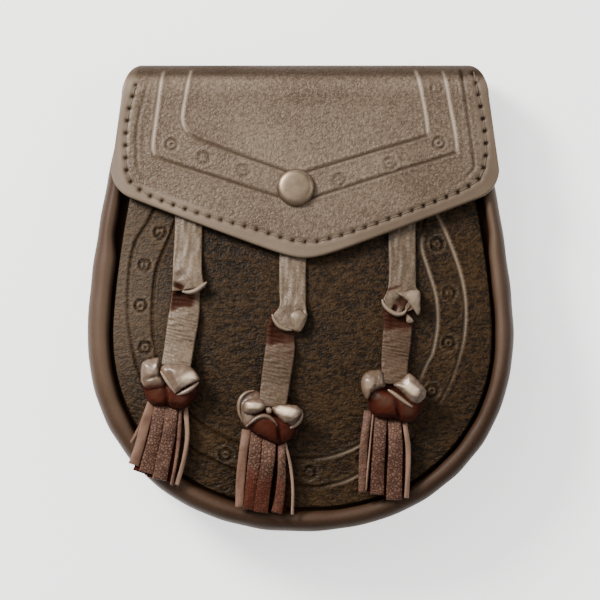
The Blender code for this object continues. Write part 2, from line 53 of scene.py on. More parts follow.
camera_data = bpy.data.cameras.new("camera")
camera_data.sensor_width = 36.0
camera_data.lens = camera_data.sensor_width * VIEW_DISTANCE / VIEW_WIDTH
camera = bpy.data.objects.new("camera", camera_data)
camera.location = (*VIEW_MIDDLE, VIEW_LEVEL + VIEW_DISTANCE)
bpy.context.scene.collection.objects.link(camera)
bpy.context.scene.camera = camera

bpy.ops.object.select_all(action="DESELECT")
bpy.ops.mesh.primitive_plane_add(size=6.0, location=(0, 0, FLOOR_Z))
floor = bpy.context.object
floor.name = "floor"
paper = bpy.data.materials.new("white_paper")
paper.use_nodes = True
sockets = paper.node_tree.nodes["Principled BSDF"].inputs
sockets["Base Color"].default_value = (0.92, 0.92, 0.92, 1)
sockets["Roughness"].default_value = 0.9
sockets["Emission Color"].default_value = (1, 1, 1, 1)
sockets["Emission Strength"].default_value = 1.3
floor.data.materials.append(paper)


def soft_light(name, place, size, power, colour):
    """A round soft light that is turned towards the pouch."""
    data = bpy.data.lights.new(name, "AREA")
    data.shape = "DISK"
    data.size = size
    data.energy = power
    data.color = colour
    lamp = bpy.data.objects.new(name, data)
    lamp.location = place
    lamp.rotation_euler = (Vector((0, 0, 0)) - Vector(place)).to_track_quat("-Z", "Y").to_euler()
    bpy.context.scene.collection.objects.link(lamp)


soft_light("key_light", (-0.90, 0.80, 0.80), 0.45, 42.0, (1.0, 0.97, 0.93))
soft_light("fill_light", (1.1, 0.2, 0.9), 0.9, 5.0, (1.0, 0.97, 0.93))
soft_light("top_light", (-0.60, 0.75, 1.4), 0.8, 9.0, (1.0, 0.98, 0.96))
world = bpy.data.worlds.new("studio")
world.use_nodes = True
world.node_tree.nodes["Background"].inputs["Color"].default_value = (1.0, 0.99, 0.97, 1)
world.node_tree.nodes["Background"].inputs["Strength"].default_value = 0.42
bpy.context.scene.world = world


# Gusset: one long strip of smooth leather round the sides and the bottom of the pouch. Its edges are
# rolled over into a rim at the front and the back and turned in under the two panels.
BODY_WIDTH, TOTAL_HEIGHT = 0.1794, 0.1966
LOWER_REACH, UPPER_REACH = 0.0843, 0.245
LOWER_POWER, UPPER_POWER = 2.15, 1.5
TOP_Y, BOTTOM_Y = TOTAL_HEIGHT / 2, -TOTAL_HEIGHT / 2
WIDEST_Y = BOTTOM_Y + LOWER_REACH
GUSSET_TOP_Y = TOP_Y - 0.0163
TOP_DEPTH, LOW_DEPTH, DEPTH_RAMP = 0.0235, 0.0340, 0.125
LOWER_SHARE = 0.625
GUSSET_WALL, PANEL_WALL, FLAP_WALL = 0.0018, 0.0020, 0.0022
GAP, BACK_SEAM_GAP, EDGE_TURN = 0.0003, 0.0006, 0.0005
RIM_WIDTH, RIM_SHIFT, RIM_NECK_SHARE, RIM_NECK_REACH = 0.0078, 0.0008, 0.78, 0.013
FRONT_ROLL, BACK_ROLL = 0.0110, 0.0080
PANEL_INSET, PANEL_SHIFT, PANEL_DROP, PANEL_DOME = 0.0102, 0.0009, 0.0020, 0.0040
FLANGE_END, CREASE_SHARE = 0.0150, 1.22
LOOP_TOP_Y, LOOP_BOTTOM_Y, LOOP_LENGTH = 0.0380, -0.0180, 0.0560
BACK_HOLLOW, HOLLOW_HALF, HOLLOW_FADE = 0.0078, 0.0520, 0.0240
FLAP_BACK_END_Y, FLAP_TIP_Y = 0.0601, 0.0166
RIDE_BLEND = 0.0006
# The rolled edge, from its crease to the side: the share of the rim's width, and of the roll's depth
ROLL = ((1.14, 0.34), (1.02, 0.10), (0.80, 0.00), (0.54, 0.00), (0.24, 0.16), (0.06, 0.48), (0.00, 1.00))
# Places in the gusset's section, counted in its rows: flange, crease, the back's roll, the front's roll,
# crease, flange
BACK_CREASE, FRONT_HALF, FRONT_CROWN, FRONT_CREASE = 1.3, 8.5, 12.9, 14.2
# Painted light and shade round the rim, lighter where the light falls on it and darker where it turns
# away: the place on the outline, as for outline, and the tone there
RIM_PLACES = (-1, -0.84, -0.6, -0.35, 0, 0.3, 0.45, 0.6, 1)
RIM_LIGHT_AND_SHADE = (-0.30, -0.12, 0.06, -0.15, -0.25, -0.38, -0.34, -0.05, 0.0)


def ease(share):
    """0 below 0, 1 above 1, with a smooth S between them."""
    share = np.clip(share, 0.0, 1.0)
    return share * share * (3 - 2 * share)


def half_width(y):
    """Half the width of the pouch at a height y."""
    low = y < WIDEST_Y
    share = np.clip(np.abs(y - WIDEST_Y) / np.where(low, LOWER_REACH, UPPER_REACH), 0.0, 1.0)
    power = np.where(low, LOWER_POWER, UPPER_POWER)
    return BODY_WIDTH / 2 * (1 - share**power) ** (1 / power)


def outline(t):
    """The pouch's outline: t runs from -1 at the left top over 0 at the bottom to 1 at the right top."""
    size = np.abs(t)
    turn = np.pi / 2 * np.clip(size / LOWER_SHARE, 0, 1)
    low_x = BODY_WIDTH / 2 * np.sin(turn) ** (2 / LOWER_POWER)
    low_y = WIDEST_Y - LOWER_REACH * np.clip(np.cos(turn), 0, 1) ** (2 / LOWER_POWER)
    high_y = WIDEST_Y + (GUSSET_TOP_Y - WIDEST_Y) * (size - LOWER_SHARE) / (1 - LOWER_SHARE)
    low = size <= LOWER_SHARE
    x = np.where(low, low_x, half_width(np.maximum(high_y, WIDEST_Y)))
    return np.sign(t) * x, np.where(low, low_y, high_y)


def inset(t, distance):
    """The point a distance inside the outline at t."""
    step = 2e-3
    ahead, behind, here = outline(t + step), outline(t - step), outline(t)
    along_x, along_y = ahead[0] - behind[0], ahead[1] - behind[1]
    length = np.hypot(along_x, along_y)
    return here[0] - distance * along_y / length, here[1] + distance * along_x / length


def crown_z(y):
    """Height of the front rim's crown."""
    return TOP_DEPTH + (LOW_DEPTH - TOP_DEPTH) * ease((GUSSET_TOP_Y - y) / DEPTH_RAMP)


def back_z(y):
    """Height of the back's edge, which clears the sewn end of the flap near the top."""
    return (FLAP_WALL + BACK_SEAM_GAP) * ease((y - LOOP_TOP_Y) / (FLAP_BACK_END_Y - LOOP_TOP_Y))


def hollow(x, y):
    """How far the back is bowed in round the belt loops."""
    across = 1 - ease((np.abs(x) - HOLLOW_HALF) / HOLLOW_FADE)
    fade_up = 1 - ease((y - LOOP_TOP_Y) / (GUSSET_TOP_Y - LOOP_TOP_Y))
    fade_down = 1 - ease((LOOP_BOTTOM_Y - y) / LOOP_LENGTH)
    return BACK_HOLLOW * across * fade_up * fade_down


def panel_z(x, y):
    """Height of the front panel's outer face, a low dome inside the rim."""
    middle_y = (GUSSET_TOP_Y + BOTTOM_Y) / 2
    across = np.clip(1 - (x / np.maximum(half_width(y) - PANEL_INSET, 1e-6)) ** 2, 0, 1)
    along = np.clip(1 - ((y - middle_y) / (middle_y - BOTTOM_Y - PANEL_INSET)) ** 2, 0, 1)
    return crown_z(y) - PANEL_DROP + PANEL_DOME * across * along


def ride_z(x, y):
    """Height of what a tassel lies on: the front panel or, near the edge, the rim."""
    a, b = panel_z(x, y), crown_z(y)
    return (a + b + np.sqrt((a - b) ** 2 + RIDE_BLEND**2)) / 2


def smooth_rows(rows, steps):
    """A smooth curve through the rows of a table, with some steps between each two."""
    rows = np.asarray(rows, float)
    padded = np.concatenate([[2 * rows[0] - rows[1]], rows, [2 * rows[-1] - rows[-2]]])
    share = (np.arange(steps) / steps).reshape((-1,) + (1,) * (rows.ndim - 1))
    pieces = []
    for a, b, c, d in zip(padded, padded[1:], padded[2:], padded[3:]):
        bend = (2 * a - 5 * b + 4 * c - d) * share**2 + (3 * b - a - 3 * c + d) * share**3
        pieces.append((2 * b + (c - a) * share + bend) / 2)
    return np.concatenate(pieces + [rows[-1:]])


def leather_sheet(name, points, wall, relief=0.0, tone=0.0, plain=0.0):
    """Leather of an even wall with rounded edges, whose outer face is a grid of points.

    relief lifts the outer face. tone (above 0 lighter, for painted light; below 0 darker, for painted
    shade) and plain (1 without grain) are kept on the mesh for its material.
    """
    rows, columns = points.shape[:2]
    bpy.ops.object.select_all(action="DESELECT")
    bpy.ops.mesh.primitive_grid_add(x_subdivisions=columns - 1, y_subdivisions=rows - 1, size=2)
    piece = bpy.context.object
    piece.name = piece.data.name = name
    bpy.ops.object.mode_set(mode="EDIT")
    bpy.ops.mesh.select_all(action="SELECT")
    bpy.ops.mesh.duplicate()
    bpy.ops.mesh.flip_normals()
    bpy.ops.object.mode_set(mode="OBJECT")
    count = len(piece.data.vertices)
    flat = np.empty(count * 3)
    piece.data.vertices.foreach_get("co", flat)
    column, row = np.rint((flat.reshape(-1, 3)[:, :2].T + 1) / 2 * [[columns - 1], [rows - 1]]).astype(int)
    inner = np.arange(count) >= count // 2

    run_u, run_v = np.gradient(points, axis=1), np.gradient(points, axis=0)
    normal = np.cross(run_u, run_v)
    normal /= np.maximum(np.linalg.norm(normal, axis=2, keepdims=True), 1e-12)
    edge = np.full((rows, columns), 1.0)
    for axis in (0, 1):
        steps = np.linalg.norm(np.diff(points, axis=axis), axis=2)
        run = np.cumsum(np.insert(steps, 0, 0.0, axis=axis), axis=axis)
        edge = np.minimum(edge, np.minimum(run, run.take([-1], axis=axis) - run))
    radius = wall / 2
    inside = np.clip(edge / radius, 0, 1)
    drop = radius * (1 - np.sqrt(1 - (1 - inside) ** 2))
    outer = points + normal * (relief * inside - drop)[..., None]
    lining = points - normal * (wall - drop)[..., None]
    places = np.where(inner[:, None], lining[row, column], outer[row, column])
    piece.data.vertices.foreach_set("co", places.ravel())
    for key, value in (("tone", tone), ("plain", plain)):
        values = np.broadcast_to(value, (rows, columns))[row, column]
        layer = piece.data.attributes.new(key, "FLOAT", "POINT")
        layer.data.foreach_set("value", np.where(inner, 0.0, values))
    bpy.ops.object.mode_set(mode="EDIT")
    bpy.ops.mesh.select_all(action="SELECT")
    bpy.ops.mesh.remove_doubles(threshold=1e-6)
    bpy.ops.object.mode_set(mode="OBJECT")
    bpy.ops.object.shade_smooth()
    return piece


def add_node(tree, kind, inputs, **settings):
    """A shader node with values or other nodes' outputs on its inputs. It gives the node's outputs."""
    node = tree.nodes.new("ShaderNode" + kind)
    for key, value in settings.items():
        setattr(node, key, value)
    for key, value in inputs.items():
        if isinstance(value, bpy.types.NodeSocket):
            tree.links.new(value, node.inputs[key])
        else:
            node.inputs[key].default_value = value
    return node.outputs


def leather(name, dark, light, painted_light, grain, relief, roughness, patches=28.0, sheen=0.5, deep=None, crisp=0.6,
            across=1.0):
    """Leather with pebbles of 1/grain metres and a depth of relief, which fade on what is marked plain.

    Its colour wanders between dark and light, in patches of 1/patches metres. A tone above 0 turns it
    towards the third colour, as a painted highlight, and one below 0 darkens it as painted shade and ends
    at deep, which is the dark colour unless it is given. A crisp below 0.6 trades pebbles for soft
    wrinkles, which an across below 1 draws out along X.
    """
    material = bpy.data.materials.new(name)
    material.use_nodes = True
    tree = material.node_tree
    add = partial(add_node, tree)
    place = add("TexCoord", {})["Object"]
    plain = add("Attribute", {}, attribute_name="plain")["Fac"]
    tone = add("Attribute", {}, attribute_name="tone")["Fac"]
    wander = add("TexNoise", {"Vector": place, "Scale": grain * 0.9, "Detail": 2.0})["Color"]
    bent = add("VectorMath", {0: wander, 1: (0.9 / grain,) * 3, 2: place}, operation="MULTIPLY_ADD")[0]
    cells = add("TexVoronoi", {"Vector": bent, "Scale": grain}, feature="DISTANCE_TO_EDGE")["Distance"]
    pebble = add("MapRange", {0: cells, 1: 0.0, 2: 0.30}, interpolation_type="SMOOTHSTEP")[0]
    pores = add("TexNoise", {"Vector": place, "Scale": grain * 2.0, "Detail": 3.0, "Roughness": 0.6})["Fac"]
    cloud = add("TexNoise", {"Vector": place, "Scale": patches, "Detail": 5.0, "Roughness": 0.6})["Fac"]

    height = add("Math", {0: pebble, 1: crisp, 2: pores}, operation="MULTIPLY_ADD")[0]
    if crisp < 0.6:
        drawn = add("VectorMath", {0: place, 1: (across, 1.0, 1.0)}, operation="MULTIPLY")[0]
        wrinkles = {"Vector": drawn, "Scale": grain * 1.15, "Detail": 1.0, "Distortion": 0.6}
        folds = add("MapRange", {0: add("TexNoise", wrinkles)["Fac"], 1: 0.32, 2: 0.68})[0]
        height = add("Math", {0: folds, 1: 1.2 * (0.6 - crisp), 2: height}, operation="MULTIPLY_ADD")[0]
    smooth = add("Math", {0: pores, 1: 0.25, 2: 0.85}, operation="MULTIPLY_ADD")[0]
    height = add("Mix", {0: plain, 2: height, 3: smooth}, data_type="FLOAT")[0]
    shade = add("Math", {0: height, 1: 0.9, 2: cloud}, operation="MULTIPLY_ADD")[0]
    shade = add("MapRange", {0: shade, 1: 0.95, 2: 1.75})[0]
    colour = add("Mix", {0: shade, 6: (*dark, 1), 7: (*light, 1)}, data_type="RGBA")[2]
    # Painted light and shade: a tone above 0 mixes in the highlight colour, a tone below 0 darkens towards
    # deep.
    colour = add("Mix", {0: tone, 6: colour, 7: (*painted_light, 1)}, data_type="RGBA", clamp_factor=True)[2]
    mottled_tone = add("Math", {0: cloud, 1: -0.6, 2: tone}, operation="MULTIPLY_ADD")[0]
    sunk = add("MapRange", {0: mottled_tone, 1: -0.70, 2: -1.12})[0]
    colour = add("Mix", {0: sunk, 6: colour, 7: (*(deep or dark), 1)}, data_type="RGBA")[2]
    shade_value = add("MapRange", {0: tone, 1: -1.0, 2: 0.0, 3: 0.20, 4: 1.0})[0]
    colour = add("HueSaturation", {"Value": shade_value, "Color": colour})[0]
    rough = add("MapRange", {0: cloud, 1: 0.3, 2: 0.7, 3: roughness - 0.07, 4: roughness + 0.09})[0]
    bump = add("Bump", {"Height": height, "Distance": relief, "Strength": 1.0})[0]
    shine = add("MapRange", {0: tone, 1: -0.7, 2: 0.05, 3: 0.08 * sheen, 4: sheen})[0]
    sockets = tree.nodes["Principled BSDF"].inputs
    looks = {"Base Color": colour, "Roughness": rough, "Normal": bump, "Specular IOR Level": shine}
    for key, value in looks.items():
        tree.links.new(value, sockets[key])
    return material


def dress(piece, material, node):
    """Give a finished piece its material and let it take the place of the model's node."""
    piece.data.materials.append(material)
    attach(piece, "root")
    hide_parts(node)


gusset_leather = leather(
    "gusset_leather", (0.030, 0.013, 0.006), (0.060, 0.034, 0.020), (0.18, 0.12, 0.080), 560, 0.00007, 0.52,
    sheen=0.17,
)

t = np.linspace(-1, 1, 281)
x, y = outline(t)
narrow = 1 - (1 - RIM_NECK_SHARE) * ease((y - FLAP_TIP_Y) / RIM_NECK_REACH)
front_width = (RIM_WIDTH - RIM_SHIFT * x / (BODY_WIDTH / 2)) * narrow
sections = []
for inwards in (FLANGE_END, CREASE_SHARE * RIM_WIDTH):
    px, py = inset(t, inwards)
    sections.append((px, py, back_z(py) + hollow(px, py) + EDGE_TURN + PANEL_WALL + GAP))
for inwards, down in ROLL:
    sections.append((*inset(t, inwards * RIM_WIDTH), back_z(y) + down * BACK_ROLL))
for inwards, down in reversed(ROLL):
    sections.append((*inset(t, inwards * front_width), crown_z(y) - down * FRONT_ROLL))
for inwards in (CREASE_SHARE * front_width, FLANGE_END):
    px, py = inset(t, inwards)
    sections.append((px, py, panel_z(px, py) - EDGE_TURN - PANEL_WALL - GAP))
sections = np.array([np.stack(section, axis=1) for section in sections])
fine = smooth_rows(sections, 5)
where = smooth_rows(np.arange(len(sections))[:, None], 5)[:, 0]
# The gusset's tone: painted shade in the creases beside the front and back panels, less of it at the bottom,
# and a painted highlight along the front crown.
crease = -0.9 * ease((where - FRONT_CREASE) / 1.2) - 0.6 * np.exp(-((where - BACK_CREASE) / 0.7) ** 2)
shallow = 1 - 0.65 * np.exp(-((t / 0.4) ** 2))
crown_highlight = 0.30 * np.exp(-((where - FRONT_CROWN) / 1.2) ** 2)
ripple = 0.00012 * np.sin(t * 47 + 1.0) * np.sin(t * 19) + 0.00008 * np.sin(t * 83)
tone = crease[:, None] * shallow + crown_highlight[:, None] + np.interp(t, RIM_PLACES, RIM_LIGHT_AND_SHADE)
gusset = leather_sheet(
    "gusset_fine", fine, GUSSET_WALL, relief=ripple * (where > FRONT_HALF)[:, None],
    tone=np.clip(tone, -1, 1), plain=0.75,
)
dress(gusset, gusset_leather, "gusset")


# Front panel: dark pebbled leather laid over the turned-in edge of the gusset. Two lines and a row of
# small rosettes are pressed into it round the sides and the bottom while the leather is damp.
PANEL_CENTRE = (0.0, WIDEST_Y + 0.008)
LINE_WIDTH, ROSETTE_RADIUS = 0.00060, 0.0026
# The stamps' tones are painted light and shade: RING_SUNK_TONE darkens their sunk parts, and the ring tones
# lighten their raised rings.
RING_RISE, RING_SUNK, RING_SUNK_TONE = 0.00035, 0.00050, 0.45
PANEL_LINE_DEPTH, PANEL_RING_TONE = 1.3, 0.30
LIT_LEFT_X, LIT_LEFT_FADE, LIT_LEFT_Y, LIT_LEFT_RISE, LIT_LEFT_TONE = -0.045, 0.03, -0.06, 0.06, 0.22


def disc(half, spacing):
    """Places on a round grid: the share from middle to edge, and the share round the edge."""
    line = np.concatenate([-spacing(np.linspace(1, 0, half + 1))[:-1], spacing(np.linspace(0, 1, half + 1))])
    a, b = np.meshgrid(line, line)
    r = np.maximum(np.abs(a), np.abs(b))
    safe = np.maximum(r, 1e-9)
    s = np.where(-a >= np.abs(b), 0.5 - b / safe / 2, 0.0)
    s = np.where((-b >= np.abs(a)) & (-a < np.abs(b)), 1.5 + a / safe / 2, s)
    s = np.where((a >= np.abs(b)) & (-b < np.abs(a)), 2.5 + b / safe / 2, s)
    s = np.where((b > np.abs(a)), 3.5 - a / safe / 2, s)
    return r, s


def panel_places(half):
    """x and y of a panel's grid: a disc drawn out to the panel's edge, denser in the tooled band near it."""
    r, s = disc(half, lambda share: np.interp(share, (0, 0.42, 0.97, 1), (0, 0.64, 0.99, 1)))
    t = np.clip(2 * s / 3 - 1, -1, 1)
    edge_x, edge_y = inset(t, PANEL_INSET - PANEL_SHIFT * outline(t)[0] / (BODY_WIDTH / 2))
    end = np.array([1.0])
    right_x, right_y = inset(end, PANEL_INSET - PANEL_SHIFT * outline(end)[0] / (BODY_WIDTH / 2))
    left_x, left_y = inset(-end, PANEL_INSET - PANEL_SHIFT * outline(-end)[0] / (BODY_WIDTH / 2))
    back = np.clip(s - 3, 0, 1)
    edge_x = np.where(s > 3, right_x + (left_x - right_x) * back, edge_x)
    edge_y = np.where(s > 3, right_y + (left_y - right_y) * back, edge_y)
    return PANEL_CENTRE[0] + (edge_x - PANEL_CENTRE[0]) * r, PANEL_CENTRE[1] + (edge_y - PANEL_CENTRE[1]) * r


def pressed_line(x, y, rows, width):
    """Depth and tone of a line pressed along rows of x, y (mm), depth (mm) and tone; the tone paints
    a highlight (above 0) and shade (below 0) into the groove.
    """
    rows = smooth_rows(np.array(rows, float) * (1e-3, 1e-3, 1e-3, 1.0), 6)
    best = np.full(x.shape, 1.0)
    depth, tone = np.zeros(x.shape), np.zeros(x.shape)
    for a, b in zip(rows, rows[1:]):
        run = b - a
        share = ((x - a[0]) * run[0] + (y - a[1]) * run[1]) / (run[0] ** 2 + run[1] ** 2)
        share = np.clip(share, 0, 1)
        gap = np.hypot(x - a[0] - share * run[0], y - a[1] - share * run[1])
        near = gap < best
        best = np.where(near, gap, best)
        depth = np.where(near, a[2] + share * run[2], depth)
        tone = np.where(near, a[3] + share * run[3], tone)
    trough = np.exp(-((best / width) ** 2))
    lips = np.exp(-(((best - 2.1 * width) / width) ** 2))
    return depth * (0.35 * lips - trough), tone * trough


def pressed_rosettes(x, y, centres, radius, ring_highlight):
    """Relief and tone of round stamps: a raised ring about a sunk dot, in a sunk circle. The raised
    ring is painted lighter by the last value, as a painted highlight, and the sunk parts darker, as painted
    shade.
    """
    relief, tone = np.zeros(x.shape), np.zeros(x.shape)
    for cx, cy in centres:
        r = np.hypot(x - cx / 1000, y - cy / 1000) / radius
        sunk = np.exp(-(((r - 0.86) / 0.24) ** 2)) + np.exp(-((r / 0.26) ** 2))
        raised = np.exp(-(((r - 0.46) / 0.20) ** 2)) + 0.5 * np.exp(-(((r - 1.35) / 0.22) ** 2))
        relief += RING_RISE * raised - RING_SUNK * sunk
        tone += ring_highlight * raised - RING_SUNK_TONE * sunk
    return relief, tone


# Each line's places (x, y in mm), its depth (mm) and its tone, from the left top round to the right top.
# The tone is painted light and shade: a highlight where the groove faces the light, shade where it faces
# away.
PANEL_LINES = (
    ((-61.0, 38.0, 0.5, -0.5), (-64.5, 31.0, 0.5, -0.5), (-69.1, 23.7, 0.5, -0.5), (-71.4, 14.0, 0.4, -0.3),
     (-72.4, 0.0, 0.3, -0.2), (-71.6, -14.0, 0.3, -0.2), (-68.0, -30.0, 0.3, -0.2), (-60.0, -48.0, 0.4, -0.3),
     (-46.8, -62.0, 0.5, -0.4), (-38.0, -67.5, 0.5, -0.4), (-20.0, -75.0, 0.5, -0.4), (2.3, -79.2, 0.5, -0.4),
     (14.5, -77.9, 0.5, 0.3), (22.9, -74.6, 0.5, 0.75), (40.0, -64.5, 0.4, 0.0), (54.0, -50.0, 0.3, 0.0),
     (62.5, -36.0, 0.3, 0.1), (67.0, -22.5, 0.4, 0.3), (68.7, -13.7, 0.5, 0.7), (69.1, -3.6, 0.5, 0.8),
     (67.8, 6.9, 0.5, 0.9), (64.3, 18.7, 0.5, 0.9), (59.0, 31.7, 0.5, 0.8), (56.0, 38.0, 0.5, 0.6)),
    ((-52.6, 32.0, 0.5, -0.5), (-55.2, 24.6, 0.5, -0.5), (-59.0, 15.8, 0.5, -0.5), (-61.1, 7.4, 0.5, -0.4),
     (-62.0, -9.5, 0.4, -0.3), (-60.2, -24.0, 0.3, -0.2), (-54.5, -38.0, 0.4, -0.3),
     (-45.6, -49.4, 0.5, -0.4), (-31.3, -59.0, 0.5, -0.4), (-16.0, -64.5, 0.5, -0.3),
     (1.5, -67.4, 0.5, -0.1), (13.7, -66.2, 0.5, 0.5),
     (25.8, -60.9, 0.5, 0.9), (37.0, -52.0, 0.3, 0.1), (46.5, -41.0, 0.3, 0.1), (52.7, -27.5, 0.4, 0.4),
     (55.2, -22.5, 0.5, 0.7), (57.3, -10.3, 0.5, 0.8), (56.5, 1.1, 0.5, 0.8), (53.1, 12.8, 0.5, 0.8),
     (50.6, 21.6, 0.5, 0.6), (51.5, 30.0, 0.5, -0.3), (51.8, 38.0, 0.5, -0.3)),
)
PANEL_ROSETTES = (
    (-59.0, 27.5), (-65.4, 13.7), (-67.0, -3.2), (-65.0, -20.8), (-57.5, -39.0), (-31.3, -65.6),
    (-14.0, -71.0), (4.0, -73.0), (26.3, -68.0), (42.0, -55.5), (55.0, -39.0), (62.0, -19.0),
    (62.4, 1.9), (57.3, 22.5),
)
panel_leather = leather(
    "panel_leather", (0.0055, 0.0025, 0.0004), (0.046, 0.0235, 0.0075), (0.205, 0.152, 0.108), 560, 0.00046,
    0.50, sheen=0.14, crisp=0.12, across=0.6,
)

x, y = panel_places(108)
relief, tone = pressed_rosettes(x, y, PANEL_ROSETTES, ROSETTE_RADIUS, PANEL_RING_TONE)
plain = np.zeros(x.shape)
for rows in PANEL_LINES:
    depth, shade = pressed_line(x, y, rows, LINE_WIDTH)
    relief, tone = relief + PANEL_LINE_DEPTH * depth, tone + shade
    plain = np.maximum(plain, np.abs(shade))
# Painted light on the upper left of the front panel, where the key light falls.
lit_left = ease((LIT_LEFT_X - x) / LIT_LEFT_FADE) * ease((y - LIT_LEFT_Y) / LIT_LEFT_RISE)
tone = np.clip(tone + LIT_LEFT_TONE * lit_left, -1, 1)
points = np.stack([x, y, panel_z(x, y)], axis=2)
front_panel = leather_sheet("front_panel_fine", points, PANEL_WALL, relief=relief, tone=tone, plain=plain)
dress(front_panel, panel_leather, "front_panel")


# Back panel: plain brown leather, laid over the gusset like the front one and sewn round its edge.
# It is bowed in, so that the belt loops lie level with its edge.
back_leather = leather(
    "back_leather", (0.045, 0.024, 0.013), (0.100, 0.064, 0.040), (0.20, 0.145, 0.10), 750, 0.00014, 0.5,
    sheen=0.3,
)

x, y = panel_places(60)
points = np.stack([x, y, back_z(y) + hollow(x, y)], axis=2)[:, ::-1]
back_panel = leather_sheet("back_panel_fine", points, PANEL_WALL)
dress(back_panel, back_leather, "back_panel")


# Belt loops: two short straps of the back's leather, sewn down at both ends in its hollow. The strap
# that the pouch hangs on runs through them.
LOOP_X, LOOP_WIDTH, LOOP_WALL = 0.038, 0.024, 0.0020
LOOP_SEAT, LOOP_RAMP, LOOP_CENTRE_Y = 0.008, 0.006, 0.010
seat_z = BACK_HOLLOW - GAP - LOOP_WALL
half = LOOP_LENGTH / 2
side = ((half, seat_z), (half - 0.0006, seat_z), (half - 0.004, seat_z), (half - LOOP_SEAT, seat_z),
        (half - LOOP_SEAT - 0.4 * LOOP_RAMP, 0.55 * seat_z), (half - LOOP_SEAT - LOOP_RAMP, 0.0),
        (half - LOOP_SEAT - LOOP_RAMP - 0.003, 0.0))
rows = smooth_rows(np.array([(-a, b) for a, b in side] + [(0, 0)] + list(reversed(side))), 6)
rows[:, 1] = np.maximum(rows[:, 1], 0.0)
for name, centre in (("belt_loop_left", -LOOP_X), ("belt_loop_right", LOOP_X)):
    across = np.interp(np.linspace(0, 1, 19), (0, 0.1, 0.9, 1), (0.5, 0.45, -0.45, -0.5)) * LOOP_WIDTH
    points = np.zeros((len(rows), len(across), 3))
    points[..., 0] = centre + across[None, :]
    points[..., 1] = LOOP_CENTRE_Y + rows[:, :1]
    points[..., 2] = rows[:, 1:]
    belt_loop = leather_sheet(name + "_fine", points, LOOP_WALL, plain=0.5)
    dress(belt_loop, back_leather, name)


# Flap: one piece of pebbled leather that comes from the back over the top and down the front. Its
# smooth border is sewn close to the edge, and two lines with rosettes between them follow its V.
FLAP_SHIFT, FLAP_TOP_HALF, FLAP_LOW_HALF, FLAP_FOLD_PULL = 0.0020, 0.0772, 0.0815, 0.0067
FLAP_TIP_ROUND, FLAP_SLOPE, FLAP_CORNER = 0.0080, math.radians(21.0), 0.0130
FLAP_LIFT, FLAP_CROWN, FLAP_BACK_LENGTH = 0.0007, 0.0036, 0.025
BORDER_SIDE, BORDER_LOW, BORDER_FADE = 0.0045, 0.0055, 0.003
EDGE_STEPS, EDGE_BAND, GRID_HALF = (0.0, 0.00012, 0.00035, 0.0007), 0.0011, 0.08
FINE_START, FINE_END, FINE_STEP, EVEN_STEP = 0.0012, 0.034, 0.00055, 0.00095
SHADED_BEND_Y, SHADED_BEND_FADE, SHADED_BEND_TONE, UNTOOLED_Y = 0.0905, 0.005, 0.68, 1.0
# The flap's ring tone, ring share and dark share set how strong the painted highlight on its raised rings and
# the painted shade in its lines are.
FLAP_LINE_DEPTH, FLAP_RING_TONE, FLAP_RING_SHARE, FLAP_DARK_SHARE = 1.1, 0.16, 0.75, 0.85
CHANNEL_WIDTH, CHANNEL_DEPTH_MM = 0.0009, 0.25
HOLE_RADIUS, HOLE_DEPTH, HOLE_TONE = 0.00085, 0.0008, 1.3
BEND_RADIUS = (TOP_DEPTH + FLAP_LIFT + FLAP_WALL) / 2
BEND_Y = TOP_Y - BEND_RADIUS


def flap_line(across):
    """Height of the V of the flap's lower edge."""
    return FLAP_TIP_Y + math.tan(FLAP_SLOPE) * (np.hypot(across, FLAP_TIP_ROUND) - FLAP_TIP_ROUND)


CORNER_X = FLAP_LOW_HALF - FLAP_CORNER
CORNER_Y = flap_line(CORNER_X) + FLAP_CORNER / math.cos(FLAP_SLOPE)


def flap_half(y):
    """Half the flap's width on the front at a height y."""
    return FLAP_TOP_HALF + (FLAP_LOW_HALF - FLAP_TOP_HALF) * np.clip((BEND_Y - y) / (BEND_Y - CORNER_Y), 0, 1)


def flap_lower_edge(across):
    """Height of the flap's lower edge: the V, and a round corner at each end."""
    past = np.abs(across) - CORNER_X
    arc = CORNER_Y - np.sqrt(np.clip(FLAP_CORNER**2 - past**2, 0, None))
    return np.where(past <= FLAP_CORNER * math.sin(FLAP_SLOPE), flap_line(across), arc)


def flap_front_z(x, y):
    """Height of the flap's outer face on the front."""
    across = np.clip(1 - ((x - FLAP_SHIFT) / FLAP_LOW_HALF) ** 2, 0, None)
    crown = FLAP_CROWN * across * ease((BEND_Y - y) / (BEND_Y - FLAP_TIP_Y) * 2)
    return crown_z(y) + FLAP_LIFT + crown + FLAP_WALL


